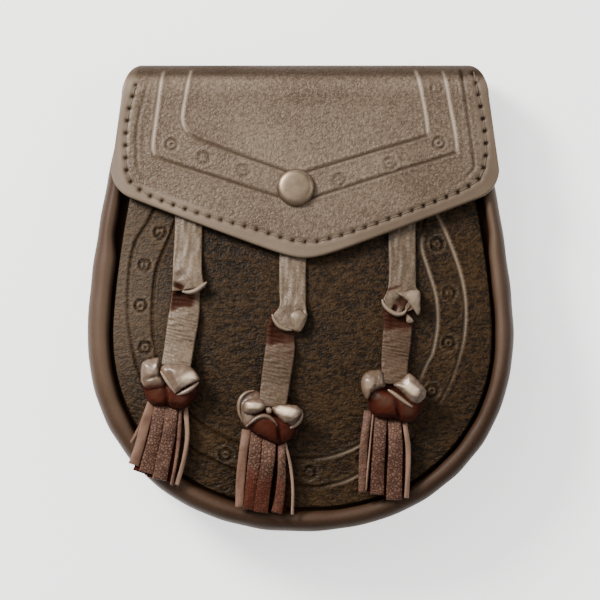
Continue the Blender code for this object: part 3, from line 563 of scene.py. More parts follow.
# Lines as for the panel, with tones of painted light and shade as there, and then the middles of the
# stamps and the line of the seam (x, y in mm)
FLAP_LINES = (
    ((67.0, 99.0, 0.0, 0.0), (67.6, 95.0, 0.45, -0.7), (70.5, 75.0, 0.45, -0.6), (72.9, 56.5, 0.45, -0.6),
     (71.9, 53.0, 0.4, -0.5), (69.6, 50.5, 0.2, -0.2)),
    ((-62.6, 99.0, 0.0, 0.0), (-63.6, 92.0, 0.15, -0.1), (-68.3, 73.3, 0.35, -0.4), (-68.6, 58.0, 0.35, -0.4),
     (-67.6, 52.5, 0.3, -0.3), (-65.0, 49.5, 0.1, 0.0)),
    ((-57.6, 97.5, 0.0, 0.0), (-58.4, 93.5, 0.5, 0.9), (-60.6, 77.0, 0.5, 1.0), (-62.1, 64.9, 0.5, 0.9),
     (-61.6, 60.8, 0.5, 0.6), (-59.4, 58.6, 0.5, -0.5), (-45.0, 53.8, 0.5, -0.8), (-10.3, 42.6, 0.5, -0.8),
     (-2.0, 40.6, 0.5, -0.8), (6.1, 42.2, 0.5, -0.8), (40.0, 52.9, 0.5, -0.7), (63.0, 60.0, 0.5, -0.6),
     (65.3, 61.6, 0.5, 0.5), (64.6, 70.0, 0.5, 1.0), (62.4, 82.0, 0.5, 1.0), (60.2, 94.0, 0.5, 0.7),
     (59.5, 97.5, 0.0, 0.0)),
    ((-45.9, 98.5, 0.0, 0.0), (-46.8, 94.5, 0.5, 0.8), (-49.5, 79.0, 0.5, 1.0), (-49.6, 74.0, 0.5, 0.9),
     (-48.0, 70.0, 0.5, 0.4), (-44.5, 67.3, 0.5, -0.5), (-30.0, 61.6, 0.5, -0.8), (-7.8, 53.6, 0.5, -0.8),
     (-2.1, 51.5, 0.5, -0.8), (3.6, 53.0, 0.5, -0.8), (30.0, 61.1, 0.5, -0.8), (51.4, 67.4, 0.5, -0.6),
     (53.0, 69.6, 0.5, 0.5), (52.0, 79.0, 0.5, 1.0), (48.9, 94.5, 0.5, 0.8), (48.2, 98.5, 0.0, 0.0)),
)
FLAP_ROSETTES = (
    (-54.0, 64.2), (-40.5, 58.6), (-23.8, 53.0), (16.2, 49.2), (37.6, 56.2), (58.2, 64.8), (57.4, 88.2),
)
FLAP_SEAM = (
    (-69.2, 89.4), (-70.4, 84.6), (-71.8, 79.5), (-73.2, 69.9), (-73.4, 59.9), (-72.4, 50.6), (-69.3, 46.9),
    (-62.6, 42.4), (-44.0, 35.7), (-27.5, 31.0), (-17.4, 28.2), (-8.2, 25.2), (1.0, 23.4), (10.3, 24.2),
    (31.3, 30.9), (62.4, 42.6), (71.4, 47.2), (75.6, 50.6), (77.4, 56.1), (78.0, 62.4), (77.2, 72.0),
    (74.6, 86.0), (72.6, 95.5),
)
STITCH_PITCH = 0.0052
# The flap is the same dark leather as the front panel; its lighter colours here are painted light, for the
# sheen it catches from the lights above.
flap_leather = leather(
    "flap_leather", (0.073, 0.046, 0.028), (0.176, 0.131, 0.092), (0.36, 0.285, 0.22), 600, 0.00026, 0.46,
    sheen=0.3, crisp=0.22,
)


def evenly(line, pitch):
    """Places a pitch apart along a line."""
    line = smooth_rows(line, 12)
    run = np.insert(np.cumsum(np.linalg.norm(np.diff(line, axis=0), axis=1)), 0, 0.0)
    stops = np.linspace(0, run[-1], int(round(run[-1] / pitch)) + 1)
    return np.stack([np.interp(stops, run, line[:, axis]) for axis in range(line.shape[1])], axis=1)


# From an edge to the middle: a few close columns at the rounded edge, fine ones in the tooled band
columns = np.concatenate([
    EDGE_STEPS,
    np.arange(FINE_START, FINE_END, FINE_STEP),
    np.linspace(FINE_END, GRID_HALF, int((GRID_HALF - FINE_END) / EVEN_STEP) + 1),
])
across = np.concatenate([-(GRID_HALF - columns), (GRID_HALF - columns)[::-1][1:]]) / GRID_HALF
low = flap_lower_edge(across * FLAP_LOW_HALF)
edge_rows = np.array(EDGE_STEPS)
rising = np.linspace(0, 1, 112)[:, None]
front_y = np.concatenate([
    low + edge_rows[:, None],
    low + EDGE_BAND + (BEND_Y - low - EDGE_BAND) * rising,
])
front_x = FLAP_SHIFT + across * flap_half(front_y)
front = np.stack([front_x, front_y, flap_front_z(front_x, front_y)], axis=2)
turn = np.linspace(0, np.pi, 37)[1:, None]
pull = 0.69 * np.sin(turn) ** 2 + 0.31 * np.sin(turn) ** 12
pull = FLAP_FOLD_PULL * np.where(turn < np.pi / 2, pull, 1.0)
bend = np.stack([
    FLAP_SHIFT + across * (FLAP_TOP_HALF - pull),
    BEND_Y + BEND_RADIUS * np.sin(turn) + 0 * across,
    BEND_RADIUS * (1 + np.cos(turn)) + 0 * across,
], axis=2)
down = np.linspace(0, FLAP_BACK_LENGTH - EDGE_BAND, 20)[1:]
down = np.concatenate([down, FLAP_BACK_LENGTH - edge_rows[::-1]])[:, None]
back_x = FLAP_SHIFT + across * (FLAP_TOP_HALF - FLAP_FOLD_PULL) + 0 * down
back_y = BEND_Y - down + 0 * across
back = np.stack([back_x, back_y, hollow(back_x, back_y)], axis=2)
points = np.concatenate([front, bend, back])
x = points[..., 0]
y = np.concatenate([front_y, BEND_Y + BEND_RADIUS * turn + 0 * across, UNTOOLED_Y + 0 * back_y])
relief, tone = pressed_rosettes(x, y, FLAP_ROSETTES, ROSETTE_RADIUS, FLAP_RING_TONE)
tone = FLAP_RING_SHARE * tone
plain = np.zeros(x.shape)
for rows in FLAP_LINES:
    depth, shade = pressed_line(x, y, rows, LINE_WIDTH)
    shade = shade * np.where(shade > 0, 1.0, FLAP_DARK_SHARE)
    relief, tone = relief + FLAP_LINE_DEPTH * depth, tone + shade
    plain = np.maximum(plain, np.abs(shade))
seam = np.array(FLAP_SEAM) / 1000
holes = evenly(seam, STITCH_PITCH)
channel, _ = pressed_line(x, y, [(*row, CHANNEL_DEPTH_MM, 0.0) for row in FLAP_SEAM], CHANNEL_WIDTH)
relief = relief + channel
# Each stitch hole is pressed in and painted darker by HOLE_TONE, as painted shade in the hole.
for hole in holes:
    near = np.exp(-((np.hypot(x - hole[0], y - hole[1]) / HOLE_RADIUS) ** 2))
    relief, tone = relief - HOLE_DEPTH * near, tone - HOLE_TONE * near
inside = ease((flap_half(y) - np.abs(x - FLAP_SHIFT) - BORDER_SIDE) / BORDER_FADE)
above_edge = y - flap_lower_edge(np.clip(x - FLAP_SHIFT, -0.081, 0.081))
inside = inside * ease((above_edge - BORDER_LOW) / BORDER_FADE)
# Painted light and shade on the smooth border: lighter on the left, where the light falls, darker on the
# right, away from it.
tone = tone + (1 - inside) * np.interp(x, (-0.06, 0.0, 0.06), (0.18, 0.05, -0.12))
# Painted shade over the top of the bend, which turns away from the light.
shaded_bend = ease((y - SHADED_BEND_Y) / SHADED_BEND_FADE) * (y < UNTOOLED_Y)
tone = np.clip(tone - SHADED_BEND_TONE * shaded_bend, -1, 1)
plain = np.clip(np.maximum(plain, 1 - inside), 0, 1)
flap = leather_sheet("flap_fine", points, FLAP_WALL, relief=relief, tone=tone, plain=plain)
dress(flap, flap_leather, "flap")


# Flap stitches: brown waxed thread, sewn round the flap just inside its smooth border. It lies in a
# shallow channel between the stitch holes.
THREAD, THREAD_SUNK, STITCH_SHARE = 0.00055, 0.00022, 0.80


def sew(name, places, thread, colour, height):
    """Short stitches of a thread between neighbouring places, each from hole to hole."""
    bpy.ops.mesh.primitive_uv_sphere_add(segments=8, ring_count=6, radius=0.5)
    first = bpy.context.object
    stitches = []
    for a, b in zip(places, places[1:]):
        a = Vector((a[0], a[1], float(height(a[0], a[1]))))
        b = Vector((b[0], b[1], float(height(b[0], b[1]))))
        stitch = first.copy()
        stitch.data = first.data.copy()
        bpy.context.scene.collection.objects.link(stitch)
        shape = Matrix.Diagonal((thread, thread, (b - a).length * STITCH_SHARE, 1.0))
        lie = (b - a).to_track_quat("Z", "Y").to_matrix().to_4x4()
        stitch.data.transform(Matrix.Translation((a + b) / 2) @ lie @ shape)
        stitches.append(stitch)
    bpy.data.objects.remove(first, do_unlink=True)
    bpy.ops.object.select_all(action="DESELECT")
    for stitch in stitches:
        stitch.select_set(True)
    bpy.context.view_layer.objects.active = stitches[0]
    bpy.ops.object.join()
    bpy.ops.object.shade_smooth()
    row = bpy.context.object
    row.name = row.data.name = name
    row.data.materials.append(colour)
    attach(row, "root")
    return row


brown_thread = leather(
    "brown_thread", (0.090, 0.060, 0.040), (0.190, 0.140, 0.100), (0.2, 0.15, 0.11), 2500, 0.00005, 0.6
)
flap_stitches = sew(
    "flap_stitches", holes, THREAD, brown_thread, lambda x, y: flap_front_z(x, y) - THREAD_SUNK
)


# Back stitches: the same thread, a little thinner, holds the flap's end, the edge of the back panel
# and both ends of each belt loop.
BACK_THREAD, FLAP_END_SUNK, LOOP_SUNK = 0.0005, 0.00028, 0.0002
SEAM_INSET, PANEL_SEAM_INSET = 0.0035, 0.0038
LOOP_PITCH, LOOP_ROW_HALF = 0.0038, 0.0095


def back_height(x, y):
    """Height of the thread on the back panel."""
    return back_z(y) + hollow(x, y) + THREAD_SUNK


flap_end_y = FLAP_BACK_END_Y + SEAM_INSET
flap_end = np.array([(-0.0660, flap_end_y), (0.0020, flap_end_y), (0.0700, flap_end_y)])
flap_end_row = sew(
    "flap_end_stitches", evenly(flap_end, STITCH_PITCH), BACK_THREAD, brown_thread,
    lambda x, y: hollow(x, y) + FLAP_END_SUNK,
)
edge = np.stack(inset(np.linspace(-0.86, 0.86, 60), PANEL_INSET + PANEL_SEAM_INSET), axis=1)
edge_row = sew("back_edge_stitches", evenly(edge, STITCH_PITCH), BACK_THREAD, brown_thread, back_height)
upper_y, lower_y = LOOP_CENTRE_Y + half - SEAM_INSET, LOOP_CENTRE_Y - half + SEAM_INSET
for name, centre in (("left", -LOOP_X), ("right", LOOP_X)):
    for end, y in (("upper", upper_y), ("lower", lower_y)):
        row = np.array([(centre - LOOP_ROW_HALF, y), (centre, y), (centre + LOOP_ROW_HALF, y)])
        loop_row = sew(
            "belt_loop_%s_%s_stitches" % (name, end), evenly(row, LOOP_PITCH), BACK_THREAD, brown_thread,
            lambda x, y: seat_z + LOOP_SUNK,
        )


# Press stud: a low domed cap of worn nickel silver, riveted through the flap. Its lower half on the
# front panel stays hidden, and the turned disc from the model stands for it.
STUD_X, STUD_Y = -0.0019, TOP_Y - 0.0523
CAP_RADIUS, CAP_HEIGHT, CAP_SEAT = 0.0079, 0.0026, 0.0004
# Half section of the cap from its middle to its edge: shares of the radius and of the height
CAP_PROFILE = (
    (0.000, 1.00), (0.30, 0.995), (0.60, 0.965), (0.74, 0.91), (0.84, 0.80), (0.92, 0.60), (0.975, 0.34),
    (1.00, 0.08), (0.99, -0.06), (0.94, -0.11),
)
cap_metal = bpy.data.materials.new("rubbed_nickel")
cap_metal.use_nodes = True
tree = cap_metal.node_tree
sockets = tree.nodes["Principled BSDF"].inputs
sockets["Metallic"].default_value = 1.0
place = add_node(tree, "TexCoord", {})["Object"]
cloud = add_node(tree, "TexNoise", {"Vector": place, "Scale": 260.0, "Detail": 6.0})["Fac"]
tarnish, bright = (0.175, 0.128, 0.084, 1), (0.31, 0.238, 0.170, 1)
tint = add_node(tree, "Mix", {0: cloud, 6: tarnish, 7: bright}, data_type="RGBA")[2]
dull = add_node(tree, "MapRange", {0: cloud, 3: 0.36, 4: 0.54})[0]
scratches = add_node(tree, "Bump", {"Height": cloud, "Distance": 0.00004})[0]
for key, value in {"Base Color": tint, "Roughness": dull, "Normal": scratches}.items():
    tree.links.new(value, sockets[key])

profile = smooth_rows(np.array(CAP_PROFILE), 3)
cap_mesh = bpy.data.meshes.new("snap_cap_fine")
ring = [(CAP_RADIUS * a, 0.0, CAP_HEIGHT * b) for a, b in profile]
cap_mesh.from_pydata(ring, [(i, i + 1) for i in range(len(ring) - 1)], [])
bpy.ops.object.select_all(action="DESELECT")
cap = bpy.data.objects.new("snap_cap_fine", cap_mesh)
bpy.context.scene.collection.objects.link(cap)
cap.select_set(True)
bpy.context.view_layer.objects.active = cap
bpy.ops.object.mode_set(mode="EDIT")
bpy.ops.mesh.select_all(action="SELECT")
bpy.ops.mesh.spin(steps=72, angle=2 * math.pi, center=(0, 0, 0), axis=(0, 0, 1))
bpy.ops.mesh.select_all(action="SELECT")
bpy.ops.mesh.remove_doubles(threshold=1e-6)
bpy.ops.mesh.fill_holes(sides=0)
bpy.ops.mesh.normals_make_consistent(inside=False)
bpy.ops.object.mode_set(mode="OBJECT")
bpy.ops.object.shade_smooth()
step = 1e-3
slope_x = (flap_front_z(STUD_X + step, STUD_Y) - flap_front_z(STUD_X - step, STUD_Y)) / (2 * step)
slope_y = (flap_front_z(STUD_X, STUD_Y + step) - flap_front_z(STUD_X, STUD_Y - step)) / (2 * step)
lie = Vector((0, 0, 1)).rotation_difference(Vector((-slope_x, -slope_y, 1))).to_matrix().to_4x4()
seat = Matrix.Translation((STUD_X, STUD_Y, float(flap_front_z(STUD_X, STUD_Y)) + CAP_SEAT))
cap.data.transform(seat @ lie)
dress(cap, cap_metal, "snap_cap")
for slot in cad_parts["snap_post"].material_slots:
    slot.material = cap_metal


# Hangers: three straps of soft leather from under the flap. Each ends in a slit loop, turned through
# itself, whose thick lower lip stands proud and holds the tassel's strap.
STRAP_WALL, LOBE_WALL, WELT_WALL = 0.0016, 0.0011, 0.0009
HANGER_CLIMB, CLIMB_START, CLIMB_RUN, HANGER_BOW = 0.0024, 0.017, 0.010, 0.0005
# Its deep colour is the reddish brown of the painted shade in the hollows and the painted shadow under each
# loop.
strap_leather = leather(
    "strap_leather", (0.105, 0.070, 0.044), (0.205, 0.152, 0.105), (0.40, 0.32, 0.25), 620, 0.00011, 0.40,
    patches=110.0, sheen=0.4, deep=(0.085, 0.028, 0.016), crisp=0.3,
)


def strip_points(left, right, rows, columns, height):
    """A grid of points on a strip between its left and right edge (rows of x, y in mm, downwards)."""
    left, right = (smooth_rows(np.array(edge) / 1000, 16) for edge in (left, right))
    share = np.linspace(0, 1, rows)
    share = np.concatenate([[0, 0.002, 0.006, 0.012], 0.02 + 0.96 * share, [0.988, 0.994, 0.998, 1.0]])
    edges = []
    for edge in (left, right):
        run = np.insert(np.cumsum(np.linalg.norm(np.diff(edge, axis=0), axis=1)), 0, 0.0)
        edges.append(np.stack([np.interp(share * run[-1], run, edge[:, axis]) for axis in (0, 1)], axis=1))
    across = np.sort(np.concatenate([np.linspace(0, 1, columns), [0.0075, 0.025, 0.05, 0.95, 0.975, 0.9925]]))
    xy = edges[0][:, None] + (edges[1] - edges[0])[:, None] * across[:, None]
    v, u = np.meshgrid(share, 2 * across - 1, indexing="ij")
    z = height(u, v, xy[..., 0], xy[..., 1])
    return np.concatenate([xy, z[..., None]], axis=2), u, v


def dents(x, y, rows):
    """Depth and tone of soft hollows and spots, whose tone paints shade (below 0) and highlights (above 0).

    Each has its x, y, half width and half height in mm, its turn in degrees, its depth in mm and a tone.
    """
    depth, tone = np.zeros(x.shape), np.zeros(x.shape)
    for cx, cy, wide, high, turn, deep, shade in rows:
        c, s = math.cos(math.radians(turn)), math.sin(math.radians(turn))
        dx, dy = x * 1000 - cx, y * 1000 - cy
        near = np.exp(-(((dx * c + dy * s) / wide) ** 4 + ((dy * c - dx * s) / high) ** 4) / 2)
        depth, tone = depth - deep / 1000 * near, tone + shade * near
    return depth, tone


def lobe(places, level, dome, tone, spots=(), plain=0.8, half=15):
    """A puffed piece of leather inside a closed line of places (x, y in mm), with spots as for dents. Its
    tone and spots paint light and shade on it, and it gets painted shade towards its edge.
    """
    places = np.array(places, float) / 1000
    turn = np.roll(places, -1, axis=0)
    if np.sum(places[:, 0] * turn[:, 1] - places[:, 1] * turn[:, 0]) < 0:
        places = places[::-1]
    edge = smooth_rows(np.concatenate([places[-2:], places, places[:2]]), 8)[16:-8]
    middle = edge.mean(axis=0)
    r, s = disc(half, lambda share: np.interp(share, (0, 0.7, 0.9, 1), (0, 0.78, 0.95, 1)))
    stop = s / 4 * (len(edge) - 1)
    rim = np.stack([np.interp(stop, np.arange(len(edge)), edge[:, axis]) for axis in (0, 1)], axis=2)
    xy = middle + (rim - middle) * r[..., None]
    puff = np.clip(1 - r**2.2, 0, 1) ** 0.6
    depth, shade = dents(xy[..., 0], xy[..., 1], spots)
    creases = 0.00009 * np.sin(1900 * xy[..., 0] + 5 * r) * np.sin(1500 * xy[..., 1])
    points = np.concatenate([xy, ((level + dome * puff) / 1000 + depth * (1 - r**4))[..., None]], axis=2)
    shade = np.clip(tone + shade - 0.3 * r**4, -1, 1)
    return leather_sheet("lobe", points, LOBE_WALL, relief=creases, tone=shade, plain=plain)


def band(line, half):
    """The two edges (mm) of a band along a line of places (x, y in mm), with its half widths on the way."""
    spine = smooth_rows(np.array(line) / 1000, 9)
    along = np.gradient(spine, axis=0)
    along /= np.linalg.norm(along, axis=1, keepdims=True)
    side = np.stack([-along[:, 1], along[:, 0]], axis=1)
    wide = np.interp(np.linspace(0, 1, len(spine)), np.linspace(0, 1, len(half)), half)[:, None] / 1000
    return (spine - side * wide) * 1000, (spine + side * wide) * 1000


def welt(line, width, level, dome, tone):
    """A rounded fold of leather along a line of places (x, y in mm), thin at both ends. Its tone paints
    light and shade on it, with more painted shade towards both sides.
    """
    left, right = band(line, width / 2 * np.array([0.35, 0.8, 1.0, 1.0, 0.8, 0.35]))

    def fold_height(u, v, x, y):
        return (level + dome * (1 - u**2) ** 0.5 * np.sin(np.pi * (0.12 + 0.76 * v))) / 1000

    points, u, v = strip_points(left, right, 30, 11, fold_height)
    return leather_sheet("welt", points[:, ::-1], WELT_WALL, tone=tone - 0.2 * u**4, plain=0.7)


def merge(name, parts, material, node):
    """Join the parts of a piece and hand it in for the model's node."""
    bpy.ops.object.select_all(action="DESELECT")
    for part in parts:
        part.select_set(True)
    bpy.context.view_layer.objects.active = parts[0]
    if len(parts) > 1:
        bpy.ops.object.join()
    piece = bpy.context.object
    piece.name = piece.data.name = name
    piece.data.materials.clear()
    dress(piece, material, node)


HANGERS = {
    # the tones paint light and shade: painted shade in the hollows, painted highlight on the lips
    # left edge, right edge (x, y mm downwards), hollows as for dents, turned-over pieces (places, level,
    # dome, tone, spots) and proud lips (line, width, level, dome, tone)
    "left": (
        ((-53.0, 46.0), (-52.8, 30.0), (-53.4, 18.0), (-53.6, 8.0), (-53.8, 2.6)),
        ((-41.8, 46.0), (-41.0, 30.0), (-41.2, 16.0), (-40.8, 9.0), (-39.6, 4.2)),
        ((-43.0, 5.6, 2.0, 1.0, 35.0, 1.4, -0.80), (-44.8, 10.4, 2.2, 1.4, -20.0, 0.5, -0.30)),
        (),
        ((((-49.6, 2.6), (-46.6, 2.2), (-43.6, 3.0), (-41.0, 4.8), (-39.0, 6.6)), 2.2, 35.2, 1.7, 0.16),),
    ),
    "middle": (
        ((-8.8, 32.0), (-9.0, 16.0), (-9.1, 4.0), (-8.9, -3.0), (-11.4, -7.4), (-9.4, -11.3), (-6.6, -13.0)),
        ((2.7, 32.0), (2.5, 16.0), (2.5, 4.0), (2.4, -3.0), (3.0, -7.3), (1.8, -11.4), (0.3, -14.2)),
        ((-7.0, -8.6, 1.5, 2.9, 18.0, 1.5, -0.60), (-3.4, -5.6, 2.6, 1.8, 0.0, 0.6, -0.25),
         (-1.0, -3.2, 2.2, 0.5, -3.0, 0.3, -0.25)),
        (
            (((-3.6, -6.1), (-0.2, -5.0), (2.3, -6.9), (2.6, -8.6), (1.2, -12.4), (-0.2, -14.5),
              (-2.7, -14.3), (-4.6, -12.8), (-4.9, -9.0)), 37.4, 1.6, -0.02,
             ((-1.6, -7.4, 2.6, 1.0, -12.0, 0.0, 0.12), (-3.0, -11.4, 0.6, 2.4, 8.0, 0.3, -0.15))),
        ),
        (
            (((-11.9, -6.8), (-10.8, -9.4), (-8.9, -11.8), (-6.4, -13.2), (-3.4, -13.6)),
             1.9, 37.8, 1.7, 0.14),
        ),
    ),
    "right": (
        ((36.4, 46.0), (36.6, 28.0), (36.9, 12.0), (36.4, 4.0), (34.2, -1.6), (36.8, -4.7), (40.2, -6.9)),
        ((48.2, 46.0), (48.4, 28.0), (48.6, 12.0), (48.5, 5.0), (49.5, 2.4), (48.0, -4.0), (44.0, -6.4)),
        ((39.6, -1.5, 3.4, 2.8, -42.0, 1.3, -0.30), (38.4, -3.4, 3.6, 0.8, -42.0, 0.8, -0.45),
         (46.0, 4.6, 2.8, 0.5, -8.0, 0.5, -0.40), (45.6, -5.6, 0.8, 2.6, 32.0, 1.0, -1.0)),
        (
            (((43.5, 2.7), (46.8, 3.4), (50.0, 2.7), (50.2, -2.3), (50.1, -6.1), (49.2, -7.8), (46.8, -4.8),
              (44.3, -1.5), (41.4, 0.9), (39.9, 2.3)), 36.2, 1.8, 0.02,
             ((47.4, 0.6, 1.8, 2.2, 0.0, 0.0, 0.26), (41.6, 1.6, 2.0, 1.0, -35.0, 0.0, -0.10),
              (48.6, -5.4, 0.9, 2.0, 0.0, 0.0, 0.16))),
            (((43.9, -7.0), (45.6, -7.4), (47.4, -9.8), (46.2, -10.9), (44.1, -10.2)), 35.4, 1.0, 0.08, ()),
        ),
        (
            (((34.0, -0.6), (34.9, -3.0), (37.3, -5.5), (40.2, -7.0), (42.8, -6.6), (44.4, -4.8)),
             2.0, 36.6, 1.7, 0.18),
        ),
    ),
}
# Painted shade on each hanger, most on the right one, away from the key light. The pleats get painted light
# and shade that follows their relief.
HANGER_SHADES = (0.16, 0.17, 0.38)
for (name, (left, right, hollows, folds, lips)), dark in zip(HANGERS.items(), HANGER_SHADES):
    end = min(left[-1][1], right[-1][1]) / 1000

    def hanger_height(u, v, x, y):
        climb = ease((end + CLIMB_START - y) / CLIMB_RUN)
        return ride_z(x, y) + GAP + STRAP_WALL + HANGER_CLIMB * climb - HANGER_BOW * u**2

    points, u, v = strip_points(left, right, 72, 29, hanger_height)
    depth, tone = dents(points[..., 0], points[..., 1], hollows)
    pleats = 0.00016 * np.sin(8 * u + 1.6 * np.sin(14 * v)) + 0.00007 * np.sin(15 * u - 9 * v)
    pleats = pleats * (1 - 0.7 * ease((v - 0.62) / 0.2))
    shade = np.clip(tone + 240 * pleats - dark, -1, 1)
    parts = [leather_sheet("strap", points[:, ::-1], STRAP_WALL, relief=depth + pleats, tone=shade)]
    parts += [lobe(*fold, plain=0.6, half=10) for fold in folds] + [welt(*lip) for lip in lips]
    merge("hanger_%s_fine" % name, parts, strap_leather, "hanger_" + name)


# Tassel straps: from the loop down into the tassel's head. They lie deep under the loop, where they get
# a painted shadow, and their soft leather is crumpled across.
STRAPS = {
    # left edge, right edge (x, y mm downwards), where it comes into the light (mm), and the recess above
    # that: left and right side (-1 to 1 across), lower line at the left and the right (mm)
    "left": (
        ((-53.6, 9.0), (-54.2, 0.0), (-55.6, -9.0), (-57.0, -20.0), (-58.2, -28.2)),
        ((-41.8, 9.0), (-41.9, 0.0), (-42.3, -9.0), (-44.2, -20.0), (-45.6, -29.4)), -6.4,
        (-0.80, 1.05, -3.2, -6.6),
    ),
    "middle": (
        ((-11.6, -4.5), (-14.2, -13.0), (-14.6, -19.0), (-16.0, -30.0), (-17.8, -45.0)),
        ((1.0, -4.5), (-2.0, -13.0), (-2.2, -22.0), (-3.6, -32.0), (-6.0, -46.2)), -20.6,
        (-0.55, 0.80, -19.6, -20.8),
    ),
    "right": (
        ((34.0, 2.0), (34.6, -6.0), (34.2, -16.0), (33.6, -26.0), (33.6, -36.0)),
        ((46.0, 2.0), (46.9, -6.0), (46.4, -18.0), (45.0, -28.0), (44.4, -36.0)), -14.4,
        (-0.60, 0.68, -13.6, -14.6),
    ),
}
# Painted shade on each tassel strap, more on the right ones, away from the key light.
STRAP_SHADES = (0.24, 0.48, 0.54)
OUT_RISE, OUT_START, OUT_RUN = 0.0014, 0.004, 0.006
HEAD_RISE, HEAD_START, HEAD_RUN, STRAP_BOW = 0.0046, 0.011, 0.010, 0.0006
for (name, (left, right, light, sides)), dark in zip(STRAPS.items(), STRAP_SHADES):
    from_u, to_u, low_left, low_right = sides
    end = min(left[-1][1], right[-1][1]) / 1000

    def strap_height(u, v, x, y):
        out = ease((light / 1000 + OUT_START - y) / OUT_RUN)
        rise = ease((end + HEAD_START - y) / HEAD_RUN)
        return ride_z(x, y) + GAP + STRAP_WALL + OUT_RISE * out + HEAD_RISE * rise - STRAP_BOW * u**2

    points, u, v = strip_points(left, right, 100, 25, strap_height)
    run = (left[0][1] - left[-1][1]) * v
    crumple = 0.00022 * np.sin(2 * np.pi * run / 2.1 + 1.3 * np.sin(3.1 * u + 40 * v))
    crumple = crumple * (0.5 + 0.5 * np.sin(23 * v + 3 * u)) + 0.00012 * np.sin(2 * np.pi * run / 1.3 + 6 * u)
    lower = np.interp(u, (-1, 1), (low_left, low_right)) + 0.4 * np.sin(5 * u + 1)
    over = points[..., 1] * 1000 - lower
    recess = ease(over / 1.6) * ease((u - from_u) / 0.45) * ease((to_u - u) / 0.30)
    above = ease(over / 2.4) * (1 - recess)
    # Painted shadow in the recess under the loop and painted shade just above it; the crumples get painted
    # light and shade that follows their relief.
    shade = -(0.70 + 0.04 * over) * recess - 0.26 * above + 260.0 * crumple - dark * (1 - recess)
    parts = [leather_sheet(
        "strap", points[:, ::-1], STRAP_WALL, relief=crumple - 0.0005 * recess, tone=np.clip(shade, -1, 1),
    )]
    merge("tassel_strap_%s_fine" % name, parts, strap_leather, "tassel_strap_" + name)


